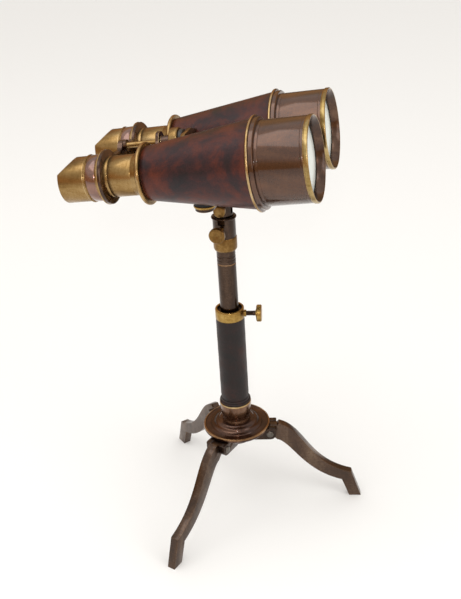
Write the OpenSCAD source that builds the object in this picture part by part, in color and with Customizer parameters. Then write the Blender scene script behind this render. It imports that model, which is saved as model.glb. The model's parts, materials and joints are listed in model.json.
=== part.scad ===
// Brass field binoculars on a folding-leg table stand, in millimetres.
// +Z is up, the floor is z = 0 and the column stands on the Z axis.
// +X is the way the objectives look. "right" is the user's right-hand barrel (-Y).

/* [Stand] */
// Height of the leg pivots above the floor
leg_pivot_z = 65.8; // [60:0.2:66]
// Distance of the leg pivots from the column axis
leg_pivot_r = 26.5; // [26:0.1:27]
// Direction of the front right leg, in degrees from +X
leg_azimuth = 11.5; // [0:0.5:30]
// Width of a leg bar
leg_w = 6.4; // [5:0.1:6.6]
// Radius of the round base flange
flange_r = 26.4; // [26:0.1:28]

/* [Column] */
// Radius of the leather sleeve on the column
sleeve_r = 10.8; // [10.5:0.1:11.2]
// Radius of the sliding mast
mast_r = 6.88; // [6.5:0.01:6.88]
// Height of the top of the clamp collar
collar_top_z = 176.6; // [176:0.1:180]
// Direction of the height screw, in degrees from +X
height_screw_az = 9; // [0:1:30]

/* [Head] */
// Height of the tilt pivot with the mast as shown
pivot_z = 256.7; // [256:0.1:262]
// Upward tilt of the barrels as shown, in degrees
tilt = 6.7; // [0:0.1:10]
// Radius of the pan screw's round head
pan_head_r = 5.9; // [5:0.1:7]

/* [Barrels] */
// Distance between the two eyepiece axes
eye_spacing = 66; // [65:0.5:70]
// Height of the barrel axes above the tilt pivot
axis_h = 39; // [39:0.1:42]
// Distance from the tilt pivot forward to the front faces
front_x = 78; // [74:0.5:80]
// Outer radius of the objective bezel
bezel_r = 28; // [27.8:0.1:28.6]
// Outer radius of the focusing drawtubes
draw_r = 13.9; // [13.6:0.01:13.9]
// How far the rear bridge stands behind the rear plate
draw_out = 25.6; // [20:0.1:27]

/* [Hidden] */
$fn = 96;

RIGHT = -1;
LEFT = 1;
BRASS = "#b08d4a";
AGED = "#7a5a34";
DARK = "#4a3426";
STEEL = "#8a8a86";
LEATHER = "#4a241c";
BLACK = "#1c1a19";
GLASS = "#cfe0d8";

run = 0.05;          // radial clearance of every running fit
seat = 0.03;         // radial gap of parts that are screwed or pressed together
cut = 1;             // how far a cutting shape runs past a face

// stand heights
flange_bot = 70.7;
flange_top = 77.8;
hub_bot = 59.8;
spigot_r = 6;        // the ferrule in the hub and its nut
neck_r = 9;          // and in the flange
ferrule_top = 94.5;
sleeve_bot = 98.5;
collar_bot = 168.7;
tube_ro = 9.8;
tube_ri = 8.25;
pin_r = 1.9;
eye_r = 4.7;
cheek_w = 4.6;
slot_half = leg_w / 2 + 0.25;

// mast and head heights
mast_bot = 128;
mast_top = 233;
socket_bot = 225;
band_top = 234.5;
socket_top = 250.5;
stem_r = 5;
fork_r = 6.7;
fork_top = pivot_z + 5.9;
fork_slot = 5.2;
tongue_w = 5;
tilt_pin_r = 1.75;
height_screw_z = 171.4;
pan_screw_z = 242.5;
screw_r = 1.9;
pan_r = 1.65;
saddle_top = pivot_z + 14.5;

// stations along a barrel: 0 is the front face, negative is towards the eye
bezel_back = -3.4;
mid_front = -33.8;
mid_back = -38.65;
tube_r = 27.5;
cone_back = -113.2;
leather_front_r = 29.32;
leather_back_r = 18.12;
leather_t = 1.3;
shell_t = 1.2;
rear_ring_r = 20.93;
rear_ring_back = cone_back - 2.6;
bridge_front = rear_ring_back - draw_out;
bridge_back = bridge_front - 3.3;
bridge_r = 18.57;
ring_back = bridge_back - 10.6;
ring_r = 16.22;
cup_r = 15.35;
cup_wall = 1.25;
cup_end = ring_back - 18.7;
brow_cut = ring_back - 8.9;   // where the slanted cut for the brow leaves the top of an eyecup
brow_slant = 54;              // how far that cut leans
rod_h = 11.5;                // height of the focus rod above the barrel axes
rod_r = 2;
wheel_r = 9.5;
cone_slope = (leather_front_r - leather_back_r) / (mid_back - cone_back);

// radius of the leather cone at station s
function cone_r(s) = leather_back_r + (s - cone_back) * cone_slope;

// ---- placing helpers ----

// a solid of revolution about Z from points [radius, height]
module turned(points) {
    rotate_extrude() polygon(points);
}

// places children in the frame of the barrels: X forward along the axes, 0 at the front faces
module along_barrels() {
    translate([0, 0, pivot_z]) rotate([0, -tilt, 0]) translate([front_x, 0, axis_h]) children();
}

// places a turned part on one barrel's axis, its height becoming the station
module on_barrel(side) {
    along_barrels() translate([0, side * eye_spacing / 2, 0]) rotate([0, 90, 0]) children();
}

// places a turned part on the focus rod's axis
module on_rod() {
    along_barrels() translate([0, 0, rod_h]) rotate([0, 90, 0]) children();
}

// a flat plate across both barrels, drawn as seen from the eye side, from station s0 to s1
module cross_plate(s0, s1) {
    along_barrels() translate([s0, 0, 0]) rotate([90, 0, 90]) linear_extrude(s1 - s0) children();
}

// lays a part that is drawn along +Z out along a level direction at height z
module outward(azimuth, z) {
    translate([0, 0, z]) rotate([0, 0, azimuth]) rotate([0, 90, 0]) children();
}

back_leg_turn = 6;   // the hub's rear clevis is set round from an even third of a circle
function leg_angle(i) = leg_azimuth + 120 * i + (i == 1 ? back_leg_turn : 0);

// a biconvex or meniscus lens profile point list: arcs of sag front and back, edge radius r
function arc_points(r, sag, z, n) = [for (i = [0 : n]) [r * i / n, z - sag * pow(i / n, 2)]];
module lens(r, front_z, front_sag, back_z, back_sag) {
    front = arc_points(r, front_sag, front_z, 8);
    back = arc_points(r, back_sag, back_z, 8);
    turned(concat(front, [for (i = [8 : -1 : 0]) back[i]]));
}

// ---- stand ----

module base_flange() {
    color(AGED) turned([
        [neck_r + seat, flange_bot], [flange_r - 0.6, flange_bot], [flange_r, flange_bot + 0.8],
        [flange_r, flange_bot + 2.6], [flange_r - 0.5, flange_bot + 3.2], [flange_r - 1.3, flange_bot + 3.2],
        [flange_r - 1.9, flange_bot + 2.5], [20, flange_bot + 2.9], [17, flange_bot + 3.7],
        [15.4, flange_bot + 4.7], [14.8, flange_bot + 6.2], [13.4, flange_top],
        [neck_r + seat, flange_top]]);
}

module leg_hub() {
    color(DARK) difference() {
        union() {
            turned([[spigot_r + seat, hub_bot], [12, hub_bot], [12.5, hub_bot + 0.5], [12.5, flange_bot],
                [spigot_r + seat, flange_bot]]);
            for (i = [0 : 2]) rotate([0, 0, leg_angle(i)]) clevis();
        }
        translate([0, 0, hub_bot - cut]) cylinder(r = spigot_r + seat, h = 20);
        for (i = [0 : 2]) rotate([0, 0, leg_angle(i)]) {
            translate([leg_pivot_r, 20, leg_pivot_z]) rotate([90, 0, 0]) cylinder(r = pin_r + seat, h = 40);
        }
    }
}

// the two cheeks that hold one leg, and the ledge between them that its heel rests on
module clevis() {
    translate([10, -slot_half - 1, hub_bot + 0.6]) cube([12.5, 2 * slot_half + 2, 2]);
    for (s = [-1, 1]) translate([0, s * (slot_half + cheek_w / 2), 0]) {
        translate([leg_pivot_r, cheek_w / 2, leg_pivot_z]) rotate([90, 0, 0]) {
            cylinder(r = eye_r + 0.2, h = cheek_w);
        }
        translate([10, -cheek_w / 2, leg_pivot_z - eye_r - 0.2]) {
            cube([leg_pivot_r - 10, cheek_w, flange_bot - leg_pivot_z + eye_r + 0.2]);
        }
    }
}

module hub_nut() {
    color(AGED) difference() {
        translate([0, 0, hub_bot - 2.4]) cylinder(r = 9, h = 2.4, $fn = 8);
        translate([0, 0, hub_bot - 2.4 - cut]) cylinder(r = spigot_r + seat, h = 2.4 + 2 * cut);
    }
}

module neck_ferrule() {
    bore_r = tube_ri + 0.05;
    color(BRASS) turned([
        [0, hub_bot - 2], [spigot_r, hub_bot - 2], [spigot_r, flange_bot], [neck_r, flange_bot],
        [neck_r, flange_top], [11.3, flange_top],
        [11.3, flange_top + 0.8], [11, flange_top + 2], [11, flange_top + 3.4], [11.5, flange_top + 6.5],
        [12, flange_top + 11], [12.35, ferrule_top - 2], [12.35, ferrule_top - 0.6], [12.2, ferrule_top],
        [tube_ro + seat, ferrule_top], [tube_ro + seat, 87], [bore_r, 87], [bore_r, 76.5], [0, 76.5]]);
}

module outer_tube() {
    color(BRASS) turned([[tube_ri, 87], [tube_ro, 87], [tube_ro, collar_bot], [tube_ri, collar_bot]]);
}

module column_leather() {
    color(LEATHER) turned([[tube_ro + seat, sleeve_bot], [sleeve_r, sleeve_bot], [sleeve_r, collar_bot],
        [tube_ro + seat, collar_bot]]);
}

module leather_rim() {
    color(LEATHER) turned([[tube_ro + seat, ferrule_top], [11.9, ferrule_top], [12.1, ferrule_top + 1],
        [11.8, ferrule_top + 2.6], [sleeve_r + 0.2, sleeve_bot], [tube_ro + seat, sleeve_bot]]);
}

module clamp_collar() {
    bore_r = mast_r + run;
    floor_z = collar_top_z - 2.8;
    color(BRASS) difference() {
        union() {
            turned([[bore_r, 160], [tube_ri - seat, 160], [tube_ri - seat, collar_bot],
                [sleeve_r + 0.1, collar_bot], [sleeve_r + 0.1, collar_top_z - 0.8],
                [sleeve_r - 0.6, collar_top_z], [9.4, collar_top_z],
                [9.2, collar_top_z - 0.4], [9.2, floor_z], [bore_r, floor_z]]);
            outward(height_screw_az, height_screw_z) translate([0, 0, 9.6]) cylinder(r = 2.6, h = 2.8);
        }
        outward(height_screw_az, height_screw_z) translate([0, 0, 5]) cylinder(r = screw_r + run, h = 9);
    }
}

module leg_pins() {
    pin_len = 2 * (slot_half + cheek_w);
    color(STEEL) for (i = [0 : 2]) rotate([0, 0, leg_angle(i)]) {
        translate([leg_pivot_r, pin_len / 2, leg_pivot_z]) rotate([90, 0, 0]) {
            cylinder(r = pin_r, h = pin_len);
            translate([0, 0, -0.9]) cylinder(r = 2.8, h = 0.9);
            translate([0, 0, pin_len]) cylinder(r = 2.8, h = 0.9);
        }
    }
}

// ---- legs ----

leg_steps = 14;
leg_run = 73.8;              // length of the curved bar along its middle
leg_root = [33, 64.7];       // where the bar starts, as [radius, height]
foot_slope = 72;             // how steeply the foot is kicked down, in degrees
foot_w = 9;

// downward slope of the bar at t = 0 (root) to 1 (heel)
function leg_slope(t) = 4 + 10 * t + 46 * sin(180 * pow(t, 0.56));
// depth of the bar at t, thick at the root
function leg_depth(t) = 15.5 - 6.6 * sqrt(t);
function leg_mid(i) = i == 0 ? leg_root
    : leg_mid(i - 1) + leg_run / leg_steps
    * [cos(leg_slope((i - 0.5) / leg_steps)), -sin(leg_slope((i - 0.5) / leg_steps))];
// a point of the bar's edge, side +1 on top and -1 below
function leg_edge(i, side) = leg_mid(i) + side * leg_depth(i / leg_steps) / 2
    * [sin(leg_slope(i / leg_steps)), cos(leg_slope(i / leg_steps))];
// where a line down the foot's slope from point p meets the floor
function to_floor(p) = [p[0] + p[1] / tan(foot_slope), 0];

module leg_outline() {
    heel = leg_edge(leg_steps, 1) + [1.2, -0.5];
    instep = leg_edge(leg_steps, -1) + [-4.6, 1.4];
    sole_out = to_floor(heel);
    top = [for (i = [0 : leg_steps]) leg_edge(i, 1)];
    bottom = [for (i = [leg_steps - 1 : -1 : 0]) leg_edge(i, -1)];
    polygon(concat([[leg_pivot_r - 6, leg_pivot_z - 3.3], [leg_pivot_r - 6, leg_pivot_z],
        [leg_pivot_r - 3.3, leg_pivot_z + 3.3], [leg_pivot_r, leg_pivot_z + eye_r],
        [31.9, leg_pivot_z + eye_r]], top,
        [heel, sole_out, [sole_out[0] - foot_w / sin(foot_slope), 0], instep], bottom,
        [[leg_pivot_r + 1.4, leg_pivot_z - eye_r + 0.2], [leg_pivot_r - 2, leg_pivot_z - 3.3]]));
}

// one leg in its own plane, pivot eye at the root and foot on the floor
module leg(i) {
    color(AGED) rotate([0, 0, leg_angle(i)]) difference() {
        translate([0, leg_w / 2, 0]) rotate([90, 0, 0]) linear_extrude(leg_w) leg_outline();
        translate([leg_pivot_r, leg_w, leg_pivot_z]) rotate([90, 0, 0]) {
            cylinder(r = pin_r + run, h = 2 * leg_w);
        }
    }
}

// ---- mast and head ----

module mast_tube() {
    groove = 0.28;
    function cut_at(z, w) = [[mast_r, z - w], [mast_r - groove, z - w / 2], [mast_r - groove, z + w / 2],
        [mast_r, z + w]];
    color(AGED) turned(concat([[5.6, mast_bot], [mast_r, mast_bot]], cut_at(213.4, 0.5), cut_at(217, 0.7),
        cut_at(219.6, 0.7), [[mast_r, mast_top], [5.6, mast_top]]));
}

module mast_foot() {
    color(BRASS) turned([[4, mast_bot - 4], [tube_ri - run, mast_bot - 4], [tube_ri - run, mast_bot],
        [5.6 - seat, mast_bot], [5.6 - seat, mast_bot + 4], [4, mast_bot + 4]]);
}

module head_socket() {
    body_r = 8.2;
    stem_bore = stem_r + run;
    window = [5, 10, 4.2];
    color(DARK) difference() {
        turned([[mast_r + seat, socket_bot], [body_r - 0.6, socket_bot], [body_r - 0.6, band_top],
            [body_r, band_top], [body_r, socket_top - 2.2], [body_r + 0.7, socket_top - 1.8],
            [body_r + 0.7, socket_top - 0.4], [body_r + 0.3, socket_top], [stem_bore, socket_top],
            [stem_bore, mast_top], [mast_r + seat, mast_top]]);
        outward(-90, pan_screw_z) translate([0, 0, 4]) cylinder(r = pan_r + run, h = 6);
        translate([-window.x / 2, -window.y - stem_bore, pan_screw_z + 2.7]) cube(window);
    }
}

module socket_band() {
    color(BRASS) turned([[7.6 + seat, socket_bot], [7.6 + seat, socket_bot - 0.6], [7.9, socket_bot - 0.6],
        [8.6, socket_bot + 0.8], [8.6, band_top - 0.4], [8.4, band_top], [7.6 + seat, band_top]]);
}

// the flat-tipped pad that a clamp screw pushes, in line with the screw
module clamp_pad(r, start, length) {
    color(BRASS) translate([0, 0, start]) cylinder(r = r, h = length);
}

module height_pad() {
    outward(height_screw_az, height_screw_z) clamp_pad(screw_r, mast_r + 0.3, 1.6);
}

module height_screw() {
    start = mast_r + 1.9;
    color(BRASS) outward(height_screw_az, height_screw_z) turned([
        [0, start], [screw_r, start], [screw_r, 19.1], [2.8, 19.5], [2.8, 20], [6.1, 20.1],
        [6.6, 20.6], [6.6, 23.4], [6.1, 23.9], [0, 23.9]]);
}

module pan_pad() {
    outward(-90, pan_screw_z) clamp_pad(pan_r, stem_r + 0.25, 1.2);
}

module pan_screw() {
    start = stem_r + 1.45;
    rim = pan_head_r;
    color(BRASS) outward(-90, pan_screw_z) turned([[0, start], [pan_r, start], [pan_r, 16.6], [2.6, 17],
        [2.6, 17.8], [rim - 0.5, 18], [rim, 18.5], [rim, 20.6], [rim - 0.5, 21.1], [0, 21.3]]);
}

module head_stem() {
    web_top = pivot_z - 4.3;
    color(DARK) difference() {
        union() {
            translate([0, 0, mast_top + 0.4]) cylinder(r = stem_r, h = socket_top + 0.2 - mast_top - 0.4);
            translate([0, 0, socket_top + 0.1]) cylinder(r = fork_r, h = fork_top - socket_top - 0.1);
        }
        translate([-10, -fork_slot / 2, web_top]) cube([20, fork_slot, 20]);
        for (s = [-1, 1]) translate([-10, s > 0 ? 5.9 : -5.9 - 5, web_top]) cube([20, 5, 20]);
        translate([0, 10, pivot_z]) rotate([90, 0, 0]) cylinder(r = tilt_pin_r + run, h = 20);
    }
}

module tilt_nut() {
    color(BRASS) translate([0, 8.4, pivot_z]) rotate([90, 0, 0]) difference() {
        cylinder(r = 3.6, h = 2.5, $fn = 6);
        translate([0, 0, -cut]) cylinder(r = tilt_pin_r + run, h = 5);
    }
}

module tilt_washer() {
    color(BRASS) translate([0, -5.95, pivot_z]) rotate([90, 0, 0]) difference() {
        cylinder(r = 3.3, h = 0.6);
        translate([0, 0, -cut]) cylinder(r = tilt_pin_r + run, h = 3);
    }
}

module tilt_screw() {
    color(BRASS) outward(-90, pivot_z) turned([[0, -9], [tilt_pin_r, -9], [tilt_pin_r, 6.6], [3.3, 6.6],
        [3.3, 7.6], [3.9, 7.7], [4.3, 8.1], [4.3, 11.1], [3.9, 11.5], [0, 11.7]]);
}

// ---- cradle under the barrels ----

arm_t = 2.2;
arm_top = saddle_top - 1.9;
arm_w = 13;
arm_x = -3;          // the arm and its saddles stand back from the tilt axis

module bracket() {
    color(DARK) difference() {
        union() {
            translate([arm_x - arm_w / 2, -eye_spacing / 2, arm_top - arm_t]) {
                cube([arm_w, eye_spacing, arm_t]);
            }
            for (s = [-1, 1]) translate([arm_x, s * eye_spacing / 2, arm_top - arm_t]) {
                cylinder(r = arm_w / 2, h = arm_t);
            }
            translate([-5.5, -tongue_w / 2, pivot_z + 4]) {
                cube([9, tongue_w, arm_top - arm_t - pivot_z - 4]);
            }
            translate([-4, -tongue_w / 2, pivot_z]) cube([8, tongue_w, 4]);
            translate([0, tongue_w / 2, pivot_z]) rotate([90, 0, 0]) cylinder(r = 4, h = tongue_w);
        }
        translate([0, 10, pivot_z]) rotate([90, 0, 0]) cylinder(r = tilt_pin_r + run, h = 20);
        saddle_bores();
    }
}

// clearance holes for the two screws that hold the barrels down
module saddle_bores() {
    for (s = [-1, 1]) translate([arm_x, s * eye_spacing / 2, saddle_top - 8]) {
        cylinder(r = 1.5 + seat, h = 12);
    }
}

module saddle_discs() {
    color(BRASS) for (s = [-1, 1]) translate([arm_x, s * eye_spacing / 2, 0]) turned([
        [1.5 + seat, arm_top], [7.1, arm_top], [7.5, arm_top + 0.4], [7.5, saddle_top - 0.3],
        [7.2, saddle_top],
        [1.5 + seat, saddle_top]]);
}

module saddle_pads() {
    color(BLACK) difference() {
        for (s = [-1, 1]) translate([arm_x, s * eye_spacing / 2, saddle_top]) cylinder(r = 7, h = 5);
        for (s = [RIGHT, LEFT]) on_barrel(s) turned([[0, cone_back], [cone_r(cone_back) + 0.05, cone_back],
            [cone_r(mid_back) + 0.05, mid_back], [0, mid_back]]);
        saddle_bores();
    }
}

module saddle_screws() {
    under = arm_top - arm_t;
    color(STEEL) for (s = [-1, 1]) translate([arm_x, s * eye_spacing / 2, 0]) turned([
        [0, under - 1.8], [2.3, under - 1.8], [2.8, under - 1], [2.8, under], [1.5, under],
        [1.5, saddle_top + 3.2], [0, saddle_top + 3.2]]);
}

// ---- barrels ----

// a cone frustum wall between the rear plate and the middle ring, from depth d0 to d1 below the leather
module cone_wall(d0, d1) {
    turned([[cone_r(cone_back) - d1, cone_back], [cone_r(cone_back) - d0, cone_back],
        [cone_r(mid_back) - d0, mid_back], [cone_r(mid_back) - d1, mid_back]]);
}

module cone_shell(side) {
    color(BRASS) difference() {
        on_barrel(side) cone_wall(leather_t + 2 * seat, leather_t + shell_t);
        saddle_bores();
    }
}

module cone_leather(side) {
    color(LEATHER) difference() {
        on_barrel(side) cone_wall(0, leather_t);
        saddle_bores();
    }
}

module rear_ring(side) {
    bore_r = draw_r + run;
    spigot = cone_r(cone_back) - leather_t - shell_t - seat;
    color(BRASS) on_barrel(side) turned([[bore_r, rear_ring_back - 2.6], [15.2, rear_ring_back - 2.6],
        [15.2, rear_ring_back], [rear_ring_r - 0.5, rear_ring_back],
        [rear_ring_r, rear_ring_back + 0.5], [rear_ring_r, cone_back - 0.6], [rear_ring_r - 0.5, cone_back],
        [spigot, cone_back], [spigot, cone_back + 5], [bore_r, cone_back + 5]]);
}

module mid_ring(side) {
    spigot = cone_r(mid_back - 3.4) - leather_t - shell_t - seat;
    color(BRASS) on_barrel(side) turned([[25, mid_back - 3.4], [spigot, mid_back - 3.4], [spigot, mid_back],
        [30.2, mid_back], [31, mid_back + 0.5], [31.16, mid_back + 1], [31, mid_back + 1.5],
        [30.2, mid_back + 1.9],
        [29.8, mid_back + 1.9], [29.8, mid_front - 0.5], [29.3, mid_front], [tube_r + seat, mid_front],
        [tube_r + seat, mid_front - 3], [25, mid_front - 3]]);
}

module objective_tube(side) {
    color(AGED) on_barrel(side) turned([[26.25, mid_front - 3], [tube_r, mid_front - 3], [tube_r, bezel_back],
        [26.25, bezel_back]]);
}

module bezel(side) {
    color(BRASS) on_barrel(side) turned([
        [26.2, bezel_back - 4], [26.2, bezel_back], [bezel_r - 0.3, bezel_back],
        [bezel_r, bezel_back + 0.3], [bezel_r, -0.4], [bezel_r - 0.4, 0], [27.1, 0], [24.2, -5], [24.2, -5.6],
        [25.1, -5.6], [25.1, bezel_back - 4]]);
}

module objective_cell(side) {
    color(BLACK) on_barrel(side) turned([
        [23.9, -5.7], [25.05, -5.7], [25.05, -7.6], [26.2, -7.6], [26.2, -19],
        [23, -19], [23, -18], [24.95, -18], [24.95, -9.2], [23.9, -9.2]]);
}

module objective_crowns() {
    color(GLASS) for (s = [RIGHT, LEFT]) on_barrel(s) lens(24.9, -6.5, 3, -14.5, -2);
}

module objective_flints() {
    color(GLASS) for (s = [RIGHT, LEFT]) on_barrel(s) lens(24.9, -14.6, -2, -17.9, 0);
}

// ---- bridges and focusing ----

// the outline of one bridge web: half width w, bottom and top heights
module web_outline(w, bottom, top) {
    polygon([[-w, bottom], [w, bottom], [w, top - 3.5], [w / 2.2, top], [-w / 2.2, top], [-w, top - 3.5]]);
}

module rear_plate() {
    color(BRASS) difference() {
        union() {
            cross_plate(rear_ring_back, cone_back) difference() {
                web_outline(14, -7, 19.4);
                for (s = [-1, 1]) translate([s * eye_spacing / 2, 0]) circle(r = rear_ring_r + seat);
            }
            on_rod() translate([0, 0, cone_back]) cylinder(r = 4, h = 7.2);
        }
        on_rod() translate([0, 0, rear_ring_back - cut]) cylinder(r = rod_r + run, h = 14);
    }
}

wheel_back = cone_back + 7.4;
cap_back = wheel_back + 6.4;
cap_front = cap_back + 3.4;

module focus_wheel() {
    color(BRASS) difference() {
        on_rod() turned([[rod_r + run, wheel_back], [6, wheel_back], [wheel_r - 0.6, wheel_back + 0.2],
            [wheel_r, wheel_back + 0.8], [wheel_r, cap_back - 0.8], [wheel_r - 0.6, cap_back - 0.2],
            [6, cap_back], [rod_r + run, cap_back]]);
        for (a = [0 : 15 : 345]) on_rod() rotate([0, 0, a]) translate([wheel_r + 0.35, 0, wheel_back - cut]) {
            cylinder(r = 0.7, h = 9, $fn = 16);
        }
    }
}

module wheel_cap() {
    color(BLACK) on_rod() turned([[rod_r + run, cap_back], [7.4, cap_back], [7.6, cap_back + 0.4],
        [7.6, cap_front - 0.8], [6.8, cap_front], [rod_r + run, cap_front]]);
}

module front_bracket() {
    back = cap_front + 0.2;
    color(AGED) difference() {
        cross_plate(back, back + 3) web_outline(17, 3, 17.5);
        for (s = [RIGHT, LEFT]) on_barrel(s) turned([[0, cone_back], [cone_r(cone_back) + seat, cone_back],
            [cone_r(mid_back) + seat, mid_back], [0, mid_back]]);
        on_rod() translate([0, 0, back - cut]) cylinder(r = rod_r + run, h = 6);
    }
}

module rear_bridge() {
    color(DARK) difference() {
        union() {
            cross_plate(bridge_back, bridge_front) difference() {
                union() {
                    web_outline(22, -8, 16.5);
                    for (s = [-1, 1]) translate([s * eye_spacing / 2, 0]) circle(r = bridge_r);
                }
                for (s = [-1, 1]) translate([s * eye_spacing / 2, 0]) circle(r = 12);
            }
            on_rod() translate([0, 0, bridge_back]) cylinder(r = 4, h = 5.5);
        }
        on_rod() translate([0, 0, bridge_back - cut]) cylinder(r = rod_r + seat, h = 9);
    }
}

module focus_rod() {
    rod_front = -84;
    color(BRASS) on_rod() turned([[0, bridge_back - 1.6], [2.6, bridge_back - 1.6], [3.1, bridge_back - 1.1],
        [3.1, bridge_back], [rod_r, bridge_back], [rod_r, rod_front - 0.6], [rod_r - 0.6, rod_front],
        [0, rod_front]]);
}

module drawtube(side) {
    color(BRASS) on_barrel(side) turned([[12.9, bridge_front], [draw_r, bridge_front], [draw_r, -95],
        [12.9, -95]]);
}

module eye_ring(side) {
    bead = 0.75;
    color(AGED) on_barrel(side) turned([[12, bridge_back], [12, ring_back], [ring_r - 0.4, ring_back],
        [ring_r, ring_back + bead], [ring_r - 0.4, ring_back + 2 * bead],
        [ring_r - 0.55, bridge_back - 2 * bead],
        [ring_r, bridge_back - bead], [ring_r - 0.2, bridge_back]]);
}

module eyecup(side) {
    inner = cup_r - cup_wall;
    floor_z = ring_back - 2;
    color(BRASS) difference() {
        on_barrel(side) turned([[8.5, ring_back], [cup_r, ring_back], [cup_r, cup_end], [inner, cup_end],
            [inner, floor_z], [8.5, floor_z]]);
        along_barrels() translate([brow_cut, side * eye_spacing / 2, cup_r]) {
            rotate([0, brow_slant, 0]) translate([-60, -40, -30]) cube([60, 80, 60]);
        }
    }
}

module eye_cells() {
    color(BLACK) for (s = [RIGHT, LEFT]) on_barrel(s) turned([[9.6, ring_back], [11.97, ring_back],
        [11.97, bridge_front + 3], [10.8, bridge_front + 3], [10.8, ring_back + 4.4], [9.6, ring_back + 4.4],
        [9.6, ring_back + 4.1], [10.75, ring_back + 4.1], [10.75, ring_back + 0.5], [9.6, ring_back + 0.5]]);
}

module eye_lenses() {
    color(GLASS) for (s = [RIGHT, LEFT]) on_barrel(s) lens(10.7, ring_back + 1.9, -2.1, ring_back + 0.6, 0);
}

base_flange();
leg_hub();
hub_nut();
neck_ferrule();
outer_tube();
column_leather();
leather_rim();
clamp_collar();
leg_pins();
leg(0);  // leg_right
leg(1);  // leg_back
leg(2);  // leg_left
mast_tube();
mast_foot();
head_socket();
socket_band();
height_pad();
height_screw();
pan_pad();
pan_screw();
head_stem();
tilt_nut();
tilt_washer();
tilt_screw();
bracket();
saddle_discs();
saddle_pads();
saddle_screws();
cone_shell(RIGHT);  // right_cone_shell
cone_shell(LEFT);  // left_cone_shell
cone_leather(RIGHT);  // right_cone_leather
cone_leather(LEFT);  // left_cone_leather
rear_ring(RIGHT);  // right_rear_ring
rear_ring(LEFT);  // left_rear_ring
mid_ring(RIGHT);  // right_mid_ring
mid_ring(LEFT);  // left_mid_ring
objective_tube(RIGHT);  // right_objective_tube
objective_tube(LEFT);  // left_objective_tube
bezel(RIGHT);  // right_bezel
bezel(LEFT);  // left_bezel
objective_cell(RIGHT);  // right_objective_cell
objective_cell(LEFT);  // left_objective_cell
objective_crowns();
objective_flints();
rear_plate();
front_bracket();
focus_wheel();
wheel_cap();
rear_bridge();
focus_rod();
drawtube(RIGHT);  // right_drawtube
drawtube(LEFT);  // left_drawtube
eye_ring(RIGHT);  // right_eye_ring
eye_ring(LEFT);  // left_eye_ring
eyecup(RIGHT);  // right_eyecup
eyecup(LEFT);  // left_eyecup
eye_cells();
eye_lenses();
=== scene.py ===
"""Brass and leather binoculars on a folding table stand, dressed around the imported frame.

Sizes in the classes are in millimetres in each part's own frame: turned parts stand on local +Z,
which becomes the station along a barrel (0 at the front face, negative towards the eye) or the
height on the column. A placing carries them to the shared frame, in metres.
"""

import json
import logging
import math
from collections.abc import Callable, Sequence
from dataclasses import dataclass
from enum import Enum

import bpy
from mathutils import Matrix, Vector


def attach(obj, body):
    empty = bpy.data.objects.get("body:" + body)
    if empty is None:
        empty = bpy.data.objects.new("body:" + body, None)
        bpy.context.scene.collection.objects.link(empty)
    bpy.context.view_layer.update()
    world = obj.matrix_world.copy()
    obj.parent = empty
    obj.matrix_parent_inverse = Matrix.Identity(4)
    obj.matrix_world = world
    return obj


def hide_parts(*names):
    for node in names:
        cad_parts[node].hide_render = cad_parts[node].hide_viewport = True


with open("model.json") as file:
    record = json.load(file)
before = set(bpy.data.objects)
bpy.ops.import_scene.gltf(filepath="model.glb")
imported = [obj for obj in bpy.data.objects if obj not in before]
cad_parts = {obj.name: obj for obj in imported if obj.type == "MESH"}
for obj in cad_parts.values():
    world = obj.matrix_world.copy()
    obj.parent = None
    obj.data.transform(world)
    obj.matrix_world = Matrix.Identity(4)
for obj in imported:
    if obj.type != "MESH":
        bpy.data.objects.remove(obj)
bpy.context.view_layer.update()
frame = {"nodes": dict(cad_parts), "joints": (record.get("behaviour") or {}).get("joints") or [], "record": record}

LOG = logging.getLogger("binoculars")
MM = 0.001
Point = tuple[float, float]
Profile = Sequence[Point]
LEG_WORDS = ("right", "back", "left")
TURN_STEPS = 128  # facets round a turning
BODY, WORN, DARK = 0, 1, 2  # a piece's own finish, the one of its rubbed edges, and a third

# Sizes that several parts share, in millimetres.
HALF_SPACING = 33.0  # from the middle to a barrel's axis
CONE_BACK = -113.2  # station of the leather cones' rear ends
ROD_HEIGHT = 11.5  # of the focus rod over the barrels' axes
MAST_R = 6.88
MAST_TOP = 233.0
FLANGE_LOW = 70.7  # underside of the round base

# Lays flat what stands on +Z, so that it points along -Y.
LAID = Matrix.Rotation(math.pi / 2, 4, "X")


class Side(Enum):
    """The user's right-hand or left-hand barrel."""

    RIGHT = -1
    LEFT = 1

    @property
    def label(self) -> str:
        """The word used in piece names."""
        return self.name.lower()


class Grain(Enum):
    """Which way a pattern runs: the turning that brings the part's own axis to Z."""

    COLUMN = (0.0, 0.0, 0.0)
    BARREL = (0.0, math.radians(-90 + 6.7), 0.0)


# ---- places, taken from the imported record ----


def joint(name: str) -> dict:
    """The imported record's joint of that name."""
    return next(j for j in frame["joints"] if j["name"] == name)


def mount(name: str) -> dict:
    """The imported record's mount of that name."""
    return next(m for m in frame["record"]["mounts"] if m["name"] == name)


RIM_STATION = -1.75  # of the cap rim mounts, on the barrels
WHEEL_STATION = -102.6  # of the focusing hinge, on the rod
TILT_PIVOT = Vector(joint("head_tilt")["pos_m"]) / MM
BARREL_AXIS = Vector(joint("eyepiece_slide")["axis"]).normalized()
ROD_POINT = Vector(joint("focus_turn")["pos_m"]) / MM


def scaled(place: Matrix) -> Matrix:
    """A millimetre placing as a placing in metres."""
    return Matrix.Scale(MM, 4) @ place


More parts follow.
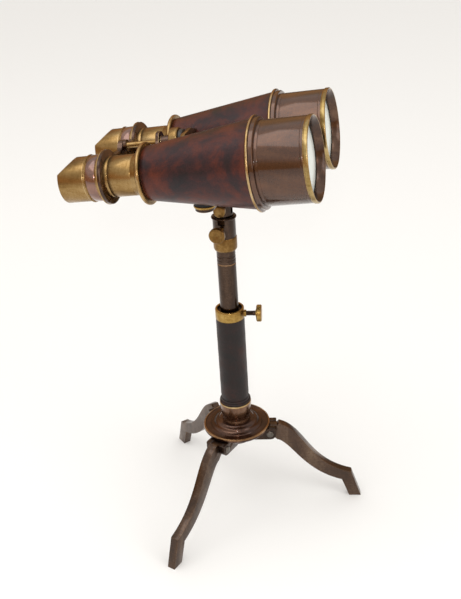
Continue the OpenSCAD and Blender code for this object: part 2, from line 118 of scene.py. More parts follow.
def axis_frame(origin: Vector, forward: Vector) -> Matrix:
    """A placing whose +Z runs along forward and whose +X points down.

    Args:
        origin: Where the part's own origin goes, in millimetres.
        forward: Unit direction of the part's axis.

    Returns:
        The placing, still in millimetres.
    """
    across = Vector((0, 1, 0))
    if abs(forward.y) > 0.9:
        across = Vector((1, 0, 0))
    down = across.cross(forward).normalized()
    across = forward.cross(down)
    turn = Matrix((down, across, forward)).transposed().to_4x4()
    return Matrix.Translation(origin) @ turn


def barrel(side: Side) -> Matrix:
    """The placing of a part on one barrel's axis, with station 0 at the front face."""
    rim = Vector(mount(f"{side.label}_cap_rim")["pos_m"]) / MM
    return scaled(axis_frame(rim - BARREL_AXIS * RIM_STATION, BARREL_AXIS))


def rod() -> Matrix:
    """The placing of a part on the focus rod's axis."""
    return scaled(axis_frame(ROD_POINT - BARREL_AXIS * WHEEL_STATION, BARREL_AXIS))


def between() -> Matrix:
    """The placing of a part midway between the two barrel axes."""
    middle = (barrel(Side.RIGHT).translation + barrel(Side.LEFT).translation) / 2 / MM
    return scaled(axis_frame(middle, BARREL_AXIS))


def column(z: float = 0.0) -> Matrix:
    """The placing of a part on the column's axis, raised by z."""
    return scaled(Matrix.Translation((0, 0, z)))


def outward(azimuth: float, z: float) -> Matrix:
    """The placing of a part that lies level and points away from the column.

    Args:
        azimuth: Direction in degrees from +X.
        z: Height in millimetres.

    Returns:
        The placing in metres.
    """
    a = math.radians(azimuth)
    return scaled(axis_frame(Vector((0, 0, z)), Vector((math.cos(a), math.sin(a), 0))))


# ---- finishes ----


def linear(hex_value: str) -> tuple[float, float, float, float]:
    """An sRGB colour such as "#B98A36" as linear RGBA."""
    parts = [int(hex_value[i : i + 2], 16) / 255 for i in (1, 3, 5)]
    return (*[c / 12.92 if c <= 0.04045 else ((c + 0.055) / 1.055) ** 2.4 for c in parts], 1.0)


def add(tree: bpy.types.NodeTree, kind: str, settings: dict | None = None, **links) -> bpy.types.Node:
    """Adds a node with its settings and links.

    Args:
        tree: The node tree.
        kind: Node type, without the ShaderNode prefix.
        settings: Attributes, or input values where the name is an input's.
        links: Input name (spaces as underscores) to the output socket that feeds it.

    Returns:
        The new node.
    """
    node = tree.nodes.new(f"ShaderNode{kind}")
    for name, value in (settings or {}).items():
        if isinstance(name, int) or name in node.inputs:
            node.inputs[name].default_value = value
        else:
            setattr(node, name, value)
    for name, source in links.items():
        key = int(name[1:]) if name[0] == "i" and name[1:].isdigit() else name.replace("_", " ")
        tree.links.new(source, node.inputs[key])
    return node


def ramp(
    tree: bpy.types.NodeTree, source: bpy.types.NodeSocket, stops: Sequence[tuple[float, str]]
) -> bpy.types.Node:
    """A colour ramp fed by source.

    Args:
        tree: The node tree.
        source: The socket that drives the ramp.
        stops: (position, sRGB hex) pairs in order.

    Returns:
        The ramp node.
    """
    node = add(tree, "ValToRGB", i0=source)
    elements = node.color_ramp.elements
    while len(elements) < len(stops):
        elements.new(0.5)
    for element, (position, colour) in zip(elements, stops):
        element.position = position
        element.color = linear(colour)
    return node


def per_mm(size: float) -> float:
    """The noise scale whose features are about size millimetres across."""
    return 1.0 / (size * MM)


@dataclass(frozen=True)
class PatinatedMetal:
    """Brass or bronze that was turned or cast, chemically browned and then handled.

    Attributes:
        name: Material name.
        stops: Ramp of the patina from the deepest stain to the rubbed metal.
        rough: Lowest and highest roughness, where rubbed and where stained.
        blotch_mm: Size of the patina's clouds.
        grain: Direction of the lathe's axis, so that marks run round it.
        marks_mm: Spacing of lathe marks, drawn coarser than real so that they show.
        marks: Strength of the lathe marks' relief.
        pitting: Strength of the casting's fine relief.
        metallic: Share of the surface that is metal rather than brown oxide.
        lacquer: Weight of the clear lacquer over the metal.
    """

    name: str
    stops: tuple[tuple[float, str], ...]
    rough: tuple[float, float]
    blotch_mm: float = 14.0
    grain: Grain = Grain.COLUMN
    marks_mm: float = 0.5
    marks: float = 0.05
    pitting: float = 0.0
    metallic: float = 1.0
    lacquer: float = 0.0

    def make(self) -> bpy.types.Material:
        """Builds the material.

        Returns:
            The node material.
        """
        mat = bpy.data.materials.new(self.name)
        mat.use_nodes = True
        t = mat.node_tree
        shader = t.nodes["Principled BSDF"]
        shader.inputs["Coat Weight"].default_value = self.lacquer
        shader.inputs["Coat Roughness"].default_value = 0.1
        shader.inputs["Coat IOR"].default_value = 1.8
        place = add(t, "TexCoord").outputs["Object"]
        turned = add(t, "Mapping", {"vector_type": "TEXTURE", "Rotation": self.grain.value}, Vector=place)
        stretched = add(t, "Mapping", {"Scale": (1.0, 1.0, 0.35)}, Vector=turned.outputs[0])
        clouds = add(
            t, "TexNoise",
            {"Scale": per_mm(self.blotch_mm), "Detail": 6.0, "Roughness": 0.62, "Distortion": 0.4},
            Vector=stretched.outputs[0],
        )
        specks = add(t, "TexNoise", {"Scale": per_mm(1.6), "Detail": 5.0, "Roughness": 0.7}, Vector=place)
        rings = add(t, "Mapping", {"Scale": (0.02, 0.02, 1.0)}, Vector=turned.outputs[0])
        marks = add(
            t, "TexNoise", {"Scale": per_mm(self.marks_mm), "Detail": 3.0, "Roughness": 0.6},
            Vector=rings.outputs[0],
        )
        mixed = add(
            t, "MixRGB", {"blend_type": "OVERLAY", 0: 0.35}, i1=clouds.outputs[0], i2=specks.outputs[0]
        )
        lined = add(t, "MixRGB", {"blend_type": "OVERLAY", 0: 0.22}, i1=mixed.outputs[0], i2=marks.outputs[0])
        tone = ramp(t, lined.outputs[0], self.stops)
        t.links.new(tone.outputs[0], shader.inputs["Base Color"])
        shader.inputs["Metallic"].default_value = self.metallic
        low, high = self.rough
        rough = add(
            t, "MapRange", {"From Min": 0.3, "From Max": 0.7, "To Min": high, "To Max": low},
            Value=lined.outputs[0],
        )
        t.links.new(rough.outputs[0], shader.inputs["Roughness"])
        bump = add(
            t, "Bump", {"Strength": self.marks, "Distance": 0.00004}, Height=marks.outputs[0]
        )
        if self.pitting:
            bump = add(
                t, "Bump", {"Strength": self.pitting, "Distance": 0.00012},
                Height=specks.outputs[0], Normal=bump.outputs[0],
            )
        t.links.new(bump.outputs[0], shader.inputs["Normal"])
        return mat


@dataclass(frozen=True)
class Leather:
    """Vegetable-tanned hide, dyed by hand and waxed.

    Attributes:
        name: Material name.
        stops: Ramp of the dye from blue-black clouds to the red ground.
        rough: Lowest and highest roughness of the waxed face.
        cloud_mm: Size of the dye's clouds.
        pebble_mm: Size of the grain's pebbles.
        relief: Strength of the grain.
    """

    name: str
    stops: tuple[tuple[float, str], ...]
    rough: tuple[float, float]
    cloud_mm: float = 22.0
    pebble_mm: float = 0.9
    relief: float = 0.25

    def make(self) -> bpy.types.Material:
        """Builds the material.

        Returns:
            The node material.
        """
        mat = bpy.data.materials.new(self.name)
        mat.use_nodes = True
        t = mat.node_tree
        shader = t.nodes["Principled BSDF"]
        place = add(t, "TexCoord").outputs["Object"]
        clouds = add(
            t, "TexNoise",
            {"Scale": per_mm(self.cloud_mm), "Detail": 5.0, "Roughness": 0.6, "Distortion": 0.6},
            Vector=place,
        )
        dabs = add(t, "TexNoise", {"Scale": per_mm(6.0), "Detail": 4.0, "Roughness": 0.65}, Vector=place)
        mixed = add(t, "MixRGB", {"blend_type": "OVERLAY", 0: 0.45}, i1=clouds.outputs[0], i2=dabs.outputs[0])
        tone = ramp(t, mixed.outputs[0], self.stops)
        pebbles = add(
            t, "TexVoronoi", {"Scale": per_mm(self.pebble_mm), "feature": "SMOOTH_F1", "Smoothness": 0.6},
            Vector=place,
        )
        creases = add(
            t, "MapRange", {"From Min": 0.1, "From Max": 0.75, "To Min": 1.0, "To Max": 0.72},
            Value=pebbles.outputs["Distance"],
        )
        dyed = add(t, "MixRGB", {"blend_type": "MULTIPLY", 0: 1.0}, i1=tone.outputs[0], i2=creases.outputs[0])
        t.links.new(dyed.outputs[0], shader.inputs["Base Color"])
        low, high = self.rough
        rough = add(
            t, "MapRange", {"From Min": 0.25, "From Max": 0.75, "To Min": low, "To Max": high},
            Value=dabs.outputs[0],
        )
        t.links.new(rough.outputs[0], shader.inputs["Roughness"])
        folds = add(t, "Bump", {"Strength": 0.3, "Distance": 0.0006}, Height=dabs.outputs[0])
        bump = add(
            t, "Bump", {"Strength": self.relief, "Distance": 0.00015, "invert": True},
            Height=pebbles.outputs["Distance"], Normal=folds.outputs[0],
        )
        t.links.new(bump.outputs[0], shader.inputs["Normal"])
        shader.inputs["Specular IOR Level"].default_value = 0.32
        shader.inputs["Coat Weight"].default_value = 0.08
        shader.inputs["Coat Roughness"].default_value = 0.25
        return mat


@dataclass(frozen=True)
class Enamel:
    """Stoved black enamel on a turned metal part, slightly dusty."""

    name: str
    colour: str
    rough: float = 0.45

    def make(self) -> bpy.types.Material:
        """Builds the material.

        Returns:
            The node material.
        """
        mat = bpy.data.materials.new(self.name)
        mat.use_nodes = True
        t = mat.node_tree
        shader = t.nodes["Principled BSDF"]
        place = add(t, "TexCoord").outputs["Object"]
        dust = add(t, "TexNoise", {"Scale": per_mm(2.5), "Detail": 6.0, "Roughness": 0.7}, Vector=place)
        tone = ramp(t, dust.outputs[0], ((0.35, self.colour), (0.75, "#3A3430")))
        t.links.new(tone.outputs[0], shader.inputs["Base Color"])
        rough = add(
            t, "MapRange", {"To Min": self.rough - 0.1, "To Max": self.rough + 0.15}, Value=dust.outputs[0]
        )
        t.links.new(rough.outputs[0], shader.inputs["Roughness"])
        bump = add(t, "Bump", {"Strength": 0.15, "Distance": 0.00005}, Height=dust.outputs[0])
        t.links.new(bump.outputs[0], shader.inputs["Normal"])
        return mat


@dataclass(frozen=True)
class LensGlass:
    """Old crown glass, pale and barely clear: its pale base colour is a painted reflection of the bright room."""

    name: str
    tint: str
    rough: float = 0.2

    def make(self) -> bpy.types.Material:
        """Builds the material.

        Returns:
            The node material.
        """
        mat = bpy.data.materials.new(self.name)
        mat.use_nodes = True
        t = mat.node_tree
        shader = t.nodes["Principled BSDF"]
        place = add(t, "TexCoord").outputs["Object"]
        haze = add(t, "TexNoise", {"Scale": per_mm(18.0), "Detail": 4.0}, Vector=place)
        rough = add(
            t, "MapRange", {"To Min": self.rough, "To Max": self.rough + 0.05}, Value=haze.outputs[0]
        )
        t.links.new(rough.outputs[0], shader.inputs["Roughness"])
        # The pale base colour is a painted reflection of the bright room, not the glass's own colour.
        shader.inputs["Base Color"].default_value = linear(self.tint)
        shader.inputs["Transmission Weight"].default_value = 0.12
        shader.inputs["IOR"].default_value = 1.52
        shader.inputs["Specular IOR Level"].default_value = 0.15
        return mat


FINISHES = (
    # Yellow brass, turned and once polished, now an even straw-gold with brown in the hollows.
    PatinatedMetal(
        "polished_brass", ((0.25, "#644C26"), (0.48, "#9A8250"), (0.78, "#BEA878")), (0.2, 0.36),
        grain=Grain.BARREL,
    ),
    PatinatedMetal(
        "polished_brass_column", ((0.25, "#66491F"), (0.5, "#A48448"), (0.8, "#C8AC70")), (0.2, 0.36)
    ),
    # The same brass left to age: olive-gold, satin, with broad clouds of brown.
    PatinatedMetal(
        "aged_brass", ((0.25, "#563E20"), (0.5, "#8E7044"), (0.8, "#B2966A")), (0.22, 0.38),
        grain=Grain.BARREL,
    ),
    PatinatedMetal(
        "aged_brass_column", ((0.25, "#3E2C18"), (0.5, "#785A32"), (0.8, "#A48654")), (0.22, 0.4)
    ),
    # Brass browned to bronze under clear lacquer: dark brown metal, pale sheen on its shoulder.
    PatinatedMetal(
        "brown_bronze", ((0.25, "#2A160A"), (0.5, "#4C2C16"), (0.8, "#6A4428")), (0.2, 0.32),
        blotch_mm=20.0, grain=Grain.BARREL, marks=0.02, metallic=0.85, lacquer=0.5,
    ),
    PatinatedMetal(
        "red_lacquer", ((0.25, "#46281E"), (0.5, "#6E4636"), (0.8, "#966A56")), (0.18, 0.3),
        grain=Grain.BARREL, metallic=0.85, lacquer=0.8,
    ),
    # Dark chocolate bronze on the stand's turned parts.
    PatinatedMetal(
        "dark_bronze_column", ((0.22, "#170E09"), (0.5, "#36251A"), (0.8, "#574232")), (0.24, 0.42),
        lacquer=0.2,
    ),
    PatinatedMetal(
        "dark_bronze_barrel", ((0.22, "#23160F"), (0.5, "#483022"), (0.8, "#6C503C")), (0.22, 0.4),
        grain=Grain.BARREL, lacquer=0.3,
    ),
    # Reddish turned bronze of the round base and the ferrule.
    PatinatedMetal(
        "base_bronze", ((0.22, "#20110C"), (0.5, "#452C1F"), (0.8, "#6A4B39")), (0.2, 0.38), lacquer=0.25
    ),
    PatinatedMetal(
        "ferrule_bronze", ((0.22, "#3E2416"), (0.5, "#6E4E38"), (0.8, "#98785F")), (0.18, 0.34),
        lacquer=0.3,
    ),
    # Cast and filed legs: brown with a greenish cast, slightly rough, no lathe marks.
    PatinatedMetal(
        "cast_leg_bronze", ((0.22, "#241810"), (0.48, "#4A3526"), (0.8, "#76604C")), (0.26, 0.42),
        blotch_mm=18.0, marks=0.0, pitting=0.5, lacquer=0.3,
    ),
    # Metal rubbed bright along edges by handling.
    PatinatedMetal(
        "rubbed_edge", ((0.2, "#80623A"), (0.5, "#AC8E60"), (0.8, "#CDB892")), (0.2, 0.34),
        grain=Grain.BARREL,
    ),
    PatinatedMetal(
        "rubbed_bronze_edge", ((0.2, "#5E442E"), (0.5, "#8C6C4C"), (0.8, "#B8987A")), (0.2, 0.34)
    ),
    # Plain steel pins and screws, dulled.
    PatinatedMetal(
        "dull_steel", ((0.2, "#3C3834"), (0.5, "#66605A"), (0.8, "#8C857C")), (0.28, 0.42), marks_mm=0.3
    ),
    # Oxblood hide mottled with blue-black dye, waxed to a soft shine.
    Leather(
        "oxblood_leather",
        ((0.28, "#1A1014"), (0.42, "#311416"), (0.54, "#4A1B12"), (0.7, "#5C2413"), (0.88, "#6C2E18")),
        (0.34, 0.48),
    ),
    Leather(
        "column_hide", ((0.3, "#0E0606"), (0.5, "#1D0C0A"), (0.75, "#361911")), (0.42, 0.58),
        cloud_mm=16.0, pebble_mm=1.3, relief=0.5,
    ),
    # Black leather for the column stitches and the saddle pads; on the pads the black is partly painted shadow,
    # for the shade under the barrels.
    Leather("black_pad_leather", ((0.3, "#0B0A0A"), (0.7, "#161413")), (0.5, 0.7), relief=0.4),
    Enamel("black_enamel", "#0C0B0B"),
    Enamel("black_cap", "#161312", rough=0.35),
    # Lens glass whose pale colour is a painted reflection of the bright room.
    LensGlass("lens_glass", "#E4E8E0"),
)
MATERIALS = {finish.name: finish.make() for finish in FINISHES}


# ---- modelling ----


def deselect() -> None:
    """Leaves nothing selected, so that an operator acts only on the new piece."""
    if bpy.context.mode != "OBJECT":
        bpy.ops.object.mode_set(mode="OBJECT")
    bpy.ops.object.select_all(action="DESELECT")


def focus(piece: bpy.types.Object) -> bpy.types.Object:
    """Selects one piece alone and makes it active."""
    deselect()
    piece.select_set(True)
    bpy.context.view_layer.objects.active = piece
    return piece


def named(name: str) -> bpy.types.Object:
    """The active object, with its new name."""
    piece = bpy.context.active_object
    piece.name = piece.data.name = name
    return piece


def draw_line(points: Sequence[Vector], closed: bool) -> None:
    """Draws a chain of edges by extruding one vertex, and leaves edit mode on.

    Args:
        points: Corners in order, in the part's own frame.
        closed: Whether the last corner joins the first.
    """
    deselect()
    bpy.ops.mesh.primitive_plane_add(size=1)
    bpy.ops.object.mode_set(mode="EDIT")
    bpy.ops.mesh.merge(type="CENTER")
    bpy.ops.transform.translate(value=points[0])
    for before, after in zip(points, points[1:]):
        bpy.ops.mesh.extrude_region_move(TRANSFORM_OT_translate={"value": after - before})
    if closed:
        bpy.ops.object.mode_set(mode="OBJECT")
        vertices = bpy.context.active_object.data.vertices
        for v in vertices:
            v.select = v.index in (0, len(vertices) - 1)
        bpy.ops.object.mode_set(mode="EDIT")
        bpy.ops.mesh.edge_face_add()
    bpy.ops.mesh.select_all(action="SELECT")


def turn(name: str, profile: Profile, closed: bool = True, steps: int = TURN_STEPS) -> bpy.types.Object:
    """Turns an outline about local Z, as on a lathe.

    Args:
        name: Piece name.
        profile: (radius, height) corners in order.
        closed: Whether the outline closes on itself; an open one runs from axis to axis.
        steps: Facets round the turning.

    Returns:
        The turned piece, with its faces outwards.
    """
    draw_line([Vector((r, 0, z)) for r, z in profile], closed)
    bpy.ops.mesh.spin(steps=steps, angle=math.tau, center=(0, 0, 0), axis=(0, 0, 1))
    bpy.ops.mesh.select_all(action="SELECT")
    bpy.ops.mesh.remove_doubles(threshold=0.0005)
    bpy.ops.mesh.normals_make_consistent(inside=False)
    bpy.ops.object.mode_set(mode="OBJECT")
    return named(name)


def plate(name: str, outline: Profile, start: float, end: float) -> bpy.types.Object:
    """Cuts a flat outline from plate.

    Args:
        name: Piece name.
        outline: (x, y) corners in order.
        start: Height of the plate's lower face.
        end: Height of its upper face.

    Returns:
        The plate, with its faces outwards.
    """
    draw_line([Vector((x, y, start)) for x, y in outline], True)
    bpy.ops.mesh.edge_face_add()
    bpy.ops.mesh.extrude_region_move(TRANSFORM_OT_translate={"value": (0, 0, end - start)})
    bpy.ops.mesh.select_all(action="SELECT")
    bpy.ops.mesh.normals_make_consistent(inside=False)
    bpy.ops.object.mode_set(mode="OBJECT")
    return named(name)


def drum(
    radius: float, start: float, end: float, at: Point = (0.0, 0.0), sides: int = 64
) -> bpy.types.Object:
    """A plain cylinder along local Z, used as a cutter or as stock."""
    deselect()
    bpy.ops.mesh.primitive_cylinder_add(
        vertices=sides, radius=radius, depth=end - start, location=(*at, (start + end) / 2)
    )
    bpy.ops.object.transform_apply(location=True, rotation=True, scale=True)
    return bpy.context.active_object


def block(low: Sequence[float], high: Sequence[float]) -> bpy.types.Object:
    """A plain box between two corners, used as a cutter or as stock."""
    deselect()
    size = [b - a for a, b in zip(low, high)]
    bpy.ops.mesh.primitive_cube_add(size=1, location=[(a + b) / 2 for a, b in zip(low, high)])
    bpy.ops.transform.resize(value=size)
    bpy.ops.object.transform_apply(location=True, rotation=True, scale=True)
    return bpy.context.active_object


def moved(piece: bpy.types.Object, place: Matrix) -> bpy.types.Object:
    """Applies a placing to a piece's mesh, leaving its object at the origin."""
    focus(piece)
    piece.matrix_world = place @ piece.matrix_world
    bpy.ops.object.transform_apply(location=True, rotation=True, scale=True)
    return piece


def combine(piece: bpy.types.Object, tool: bpy.types.Object, how: str) -> bpy.types.Object:
    """Cuts a tool from a piece ("DIFFERENCE") or welds it on ("UNION"), then removes the tool."""
    focus(piece)
    mod = piece.modifiers.new("combine", "BOOLEAN")
    mod.operation, mod.object, mod.solver = how, tool, "EXACT"
    bpy.ops.object.modifier_apply(modifier=mod.name)
    bpy.data.objects.remove(tool)
    return piece


def copied(piece: bpy.types.Object, name: str) -> bpy.types.Object:
    """A copy of a piece with its own mesh."""
    focus(piece)
    bpy.ops.object.duplicate()
    return named(name)


def joined(name: str, pieces: Sequence[bpy.types.Object]) -> bpy.types.Object:
    """Several solids as one object."""
    deselect()
    for piece in pieces:
        piece.select_set(True)
    bpy.context.view_layer.objects.active = pieces[0]
    bpy.ops.object.join()
    return named(name)


def dress(
    piece: bpy.types.Object,
    finishes: Sequence[str],
    soften: float = 0.25,
    segments: int = 2,
    paint: Callable[[Vector], int] | None = None,
    sharp: float = 32.0,
) -> bpy.types.Object:
    """Rounds a piece's edges, smooths its faces and gives it its finishes.

    Args:
        piece: The piece, still in its own frame.
        finishes: Names in MATERIALS; the second goes on the rounded edges, where they are rubbed.
        soften: Radius of the rounded edges.
        segments: Facets across a rounded edge.
        paint: Gives a face's finish index from its centre, for bands.
        sharp: Smallest angle that counts as an edge, in degrees.

    Returns:
        The same piece.
    """
    focus(piece)
    piece.data.materials.clear()
    for name in finishes:
        piece.data.materials.append(MATERIALS[name])
    for face in piece.data.polygons:
        face.material_index = paint(face.center) if paint else BODY
    if soften:
        mod = piece.modifiers.new("soften", "BEVEL")
        mod.width, mod.segments, mod.limit_method = soften, segments, "ANGLE"
        mod.angle_limit = math.radians(sharp)
        mod.material = WORN if len(finishes) > 1 else -1
        bpy.ops.object.modifier_apply(modifier=mod.name)
    bpy.ops.object.shade_smooth_by_angle(angle=math.radians(sharp))
    return piece


def hand_over(
    piece: bpy.types.Object, place: Matrix, body: str, slot: str, *replaced: str
) -> bpy.types.Object:
    """Places a finished piece, makes it ride on its body and stand for its CAD nodes.

    Args:
        piece: The piece in its own frame.
        place: The placing to the shared frame.
        body: CAD body it moves with.
        slot: Material slot of the record; not used.
        replaced: CAD nodes that it stands for.

    Returns:
        The same piece.
    """
    moved(piece, place)
    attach(piece, body)
    if replaced:
        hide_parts(*replaced)
    LOG.info("%s rides on %s, %d faces", piece.name, body, len(piece.data.polygons))
    return piece


def half_round(radius: float, start: float, end: float, steps: int = 8) -> list[Point]:
    """Points of a half-round bead that stands out from a radius between two heights."""
    middle, half = (start + end) / 2, abs(end - start) / 2
    way = 1 if end > start else -1
    return [
        (
            radius + half * math.sin(math.pi * i / steps),
            middle - way * half * math.cos(math.pi * i / steps),
        )
        for i in range(steps + 1)
    ]


def arc(centre: Point, radius: float, start: float, end: float, steps: int) -> list[Point]:
    """Points on a circular arc, with angles in degrees."""
    angles = [math.radians(start + (end - start) * i / steps) for i in range(steps + 1)]
    return [(centre[0] + radius * math.cos(a), centre[1] + radius * math.sin(a)) for a in angles]


def groove(radius: float, middle: float, half: float, depth: float) -> list[Point]:
    """Points of a V-shaped groove round a turning; a negative half runs downwards."""
    return [(radius, middle - half), (radius - depth, middle), (radius, middle + half)]


def thread(radius: float, start: float, end: float, width: float, depth: float) -> list[Point]:
    """Points of a screw thread, drawn as plain grooves with narrow lands between them.

    Args:
        radius: Radius over the thread.
        start: Height of the first groove.
        end: Height that the last groove starts under.
        width: Width of a groove.
        depth: Depth of a groove.

    Returns:
        (radius, height) corners in order.
    """
    land, points, z = 0.2, [], start
    while z < end:
        points += groove(radius, z + width / 2, width / 2, depth)
        z += width + land
    return points


def off_axis(point: Vector) -> float:
    """Distance of a point from local Z."""
    return math.hypot(point.x, point.y)


def saddle_line(width: float, below: float, shoulder: float, crown: float, spread: float) -> list[Point]:
    """Outline of a web with a crown in the middle that sweeps down to both shoulders.

    Args:
        width: Half of the web's width.
        below: Depth of its straight lower edge under the barrel axes.
        shoulder: Height of the web at its ends.
        crown: Height in the middle.
        spread: How wide the crown is before it sweeps down.

    Returns:
        (x, y) corners, with +x down.
    """
    count = 28
    ys = [width - 2 * width * i / count for i in range(count + 1)]
    sweep = [(-(shoulder + (crown - shoulder) * math.exp(-((y / spread) ** 4))), y) for y in ys]
    return [(below, -width), (below, width)] + sweep


def knurl(piece: bpy.types.Object, radius: float, low: float, high: float, depth: float) -> None:
    """Presses every other pair of rim facets inwards, as a straight knurl.

    Args:
        piece: A turned piece whose facet count is a multiple of four.
        radius: Radius of the rim.
        low: Lowest height that the knurl reaches.
        high: Highest height that it reaches.
        depth: Depth of the grooves.
    """
    focus(piece)
    for v in piece.data.vertices:
        x, y, z = v.co
        step = round(math.atan2(y, x) / math.tau * TURN_STEPS) % 4
        v.select = step < 2 and off_axis(v.co) > radius - 0.01 and low < z < high
    bpy.ops.object.mode_set(mode="EDIT")
    factor = 1 - depth / radius
    bpy.ops.transform.resize(value=(factor, factor, 1), center_override=(0, 0, 0))
    bpy.ops.object.mode_set(mode="OBJECT")


def thumb_screw(name: str, head: Profile, reach: float, shank: float) -> bpy.types.Object:
    """A thumb screw along local Z, with a knurled head.

    Args:
        name: Piece name.
        head: (radius, height) corners of the head, ending on the axis.
        reach: Where the shank starts.
        shank: Radius of the shank.

    Returns:
        The piece, not dressed.
    """
    cut = thread(shank, reach + 0.6, head[0][1] - 2.5, 0.6, 0.2)
    profile = [(0, reach), (shank - 0.4, reach), (shank, reach + 0.4), *cut, *head]
    piece = turn(name, profile, closed=False)
    rim = max(r for r, _ in head)
    heights = [z for r, z in head if r > rim - 0.01]
    knurl(piece, rim, min(heights) - 0.01, max(heights) + 0.01, 0.16)
    return piece


def stitch_row(
    name: str, count: int, size: Sequence[float], lean: float, at: Callable[[float], Matrix]
) -> bpy.types.Object:
    """A row of slanted stitches as one piece.

    Args:
        name: Piece name.
        count: Number of stitches.
        size: Half thickness, half width and half length of a stitch.
        lean: Slant of every stitch, in degrees.
        at: Gives the placing of the stitch at a share of the row's length.

    Returns:
        The stitches, not dressed.
    """
    slant = Matrix.Rotation(math.radians(lean), 4, "X")
    row = []
    for i in range(count):
        deselect()
        bpy.ops.mesh.primitive_uv_sphere_add(segments=8, ring_count=6, radius=1)
        bpy.ops.transform.resize(value=size)
        bpy.ops.object.transform_apply(location=True, rotation=True, scale=True)
        row.append(moved(bpy.context.active_object, at((i + 0.5) / count) @ slant))
    return joined(name, row)


# ---- the binoculars ----


@dataclass
class Barrels:
    """The two barrels: objective end, leather cone and rear ring."""

    bezel_r: float = 28.0
    tube_r: float = 27.5
    bezel_back: float = -3.4
    mid_front: float = -33.8
    mid_back: float = -38.65
    cone_front_r: float = 29.32
    cone_back_r: float = 18.12
    rear_ring_r: float = 20.93
    collar_r: float = 15.2
    draw_bore: float = 13.95

    def cone_r(self, station: float) -> float:
        """Radius of the leather cone at a station."""
        share = (station - CONE_BACK) / (self.mid_back - CONE_BACK)
        return self.cone_back_r + (self.cone_front_r - self.cone_back_r) * share

    def bezel(self, side: Side) -> None:
        """The bright rim with its funnel mouth."""
        back = self.bezel_back
        r = self.bezel_r
        profile = [
            (26.25, back), (r - 0.5, back), (r - 0.5, back + 0.5), (r, back + 0.9), (r, -0.5),
            (r - 0.45, 0), (27.15, 0), (26.6, -0.5), (24.2, -5.0), (24.2, -5.6), (25.1, -5.6),
            (26.2, -5.0),
        ]
        piece = dress(
            turn(f"{side.label}_bezel_rim", profile),
            ("polished_brass", "rubbed_edge", "dark_bronze_barrel"), soften=0.12,
            paint=lambda c: DARK if off_axis(c) < 27.0 else BODY,
        )
        hand_over(piece, barrel(side), "binoculars", "brass", f"{side.label}_bezel")

    def objective_tube(self, side: Side) -> None:
        """The browned tube between bezel and middle ring, with engraved lines at both ends."""
        front, back, r = self.bezel_back, self.mid_front - 3, self.tube_r
        near, far = (groove(r, z, -0.22, 0.15) for z in (-5.2, -31.6))
        profile = [(26.25, back), (26.25, front), (r, front), *near, *far, (r, back)]
        piece = dress(turn(f"{side.label}_objective_barrel", profile), ("brown_bronze",), soften=0.1)
        hand_over(piece, barrel(side), "binoculars", "dark_bronze", f"{side.label}_objective_tube")

    def mid_ring(self, side: Side) -> None:
        """The bright bead and dark collar where leather meets tube."""
        b, f = self.mid_back, self.mid_front
        bead = half_round(30.2, b, b + 1.9)
        profile = [
            (25.0, b - 3.4), (26.3, b - 3.4), (26.3, b), (29.4, b), *bead, (29.75, b + 2.0),
            (29.75, f - 0.6), (29.3, f - 0.1), (29.0, f), (27.53, f), (27.53, f - 3), (25.0, f - 3),
        ]
        piece = dress(
            turn(f"{side.label}_middle_ring", profile), ("brown_bronze", "rubbed_edge"),
            soften=0.0, paint=lambda c: WORN if off_axis(c) > 30.75 else BODY,
        )
        hand_over(piece, barrel(side), "binoculars", "brass", f"{side.label}_mid_ring")

    def leather(self, side: Side) -> None:
        """The hide round the cone, turned under at both ends."""
        b, f = CONE_BACK, self.mid_back
        rb, rf = self.cone_r(b), self.cone_r(f)
        steps = 24
        skin = [
            (self.cone_r(b + (f - b) * i / steps), b + (f - b) * i / steps) for i in range(1, steps)
        ]
        profile = [
            (rb - 1.3, b), (rb - 0.35, b), (rb, b + 0.45), *skin, (rf, f - 0.45), (rf - 0.35, f),
            (rf - 1.3, f),
        ]
        piece = dress(turn(f"{side.label}_barrel_hide", profile), ("oxblood_leather",), soften=0.0)
        hand_over(
            piece, barrel(side), "binoculars", "barrel_leather",
            f"{side.label}_cone_leather", f"{side.label}_cone_shell",
        )

    def seam(self, side: Side) -> None:
        """The closing seam on the underside, sewn with a row of slanted stitches."""
        back, front = CONE_BACK + 2.5, self.mid_back - 2.5
        slope = math.atan2(self.cone_front_r - self.cone_back_r, self.mid_back - CONE_BACK)
        tilt = Matrix.Rotation(slope, 4, "Y")

        def at(share: float) -> Matrix:
            """On the cone's skin and tilted with it."""
            z = back + (front - back) * share
            return Matrix.Translation((self.cone_r(z) + 0.02, 0, z)) @ tilt

        piece = stitch_row(f"{side.label}_barrel_stitches", 30, (0.22, 0.32, 0.95), 18, at)
        dress(piece, ("oxblood_leather",), soften=0.0)
        inboard = Matrix.Rotation(math.radians(-52 * side.value), 4, "Z")
        hand_over(piece, barrel(side) @ inboard, "binoculars", "barrel_leather")

    def rear_ring(self, side: Side) -> None:
        """The flanged ring behind the leather, with the short collar that guides the drawtube."""
        front, back, r = CONE_BACK, CONE_BACK - 2.6, self.rear_ring_r
        profile = [
            (self.draw_bore, back - 2.6), (self.collar_r - 0.5, back - 2.6), (self.collar_r, back - 2.1),
            (self.collar_r, back), (r - 0.7, back), (r - 0.2, back + 0.5), (r, back + 1.2),
            (r - 0.1, front - 0.6), (r - 0.5, front), (15.5, front), (15.5, front + 5),
            (self.draw_bore, front + 5),
        ]
        piece = dress(
            turn(f"{side.label}_rear_flange", profile), ("aged_brass", "rubbed_edge"), soften=0.1,
            paint=lambda c: WORN if off_axis(c) > r - 0.75 and c.z < front - 0.5 else BODY,
        )
        hand_over(piece, barrel(side), "binoculars", "brass", f"{side.label}_rear_ring")

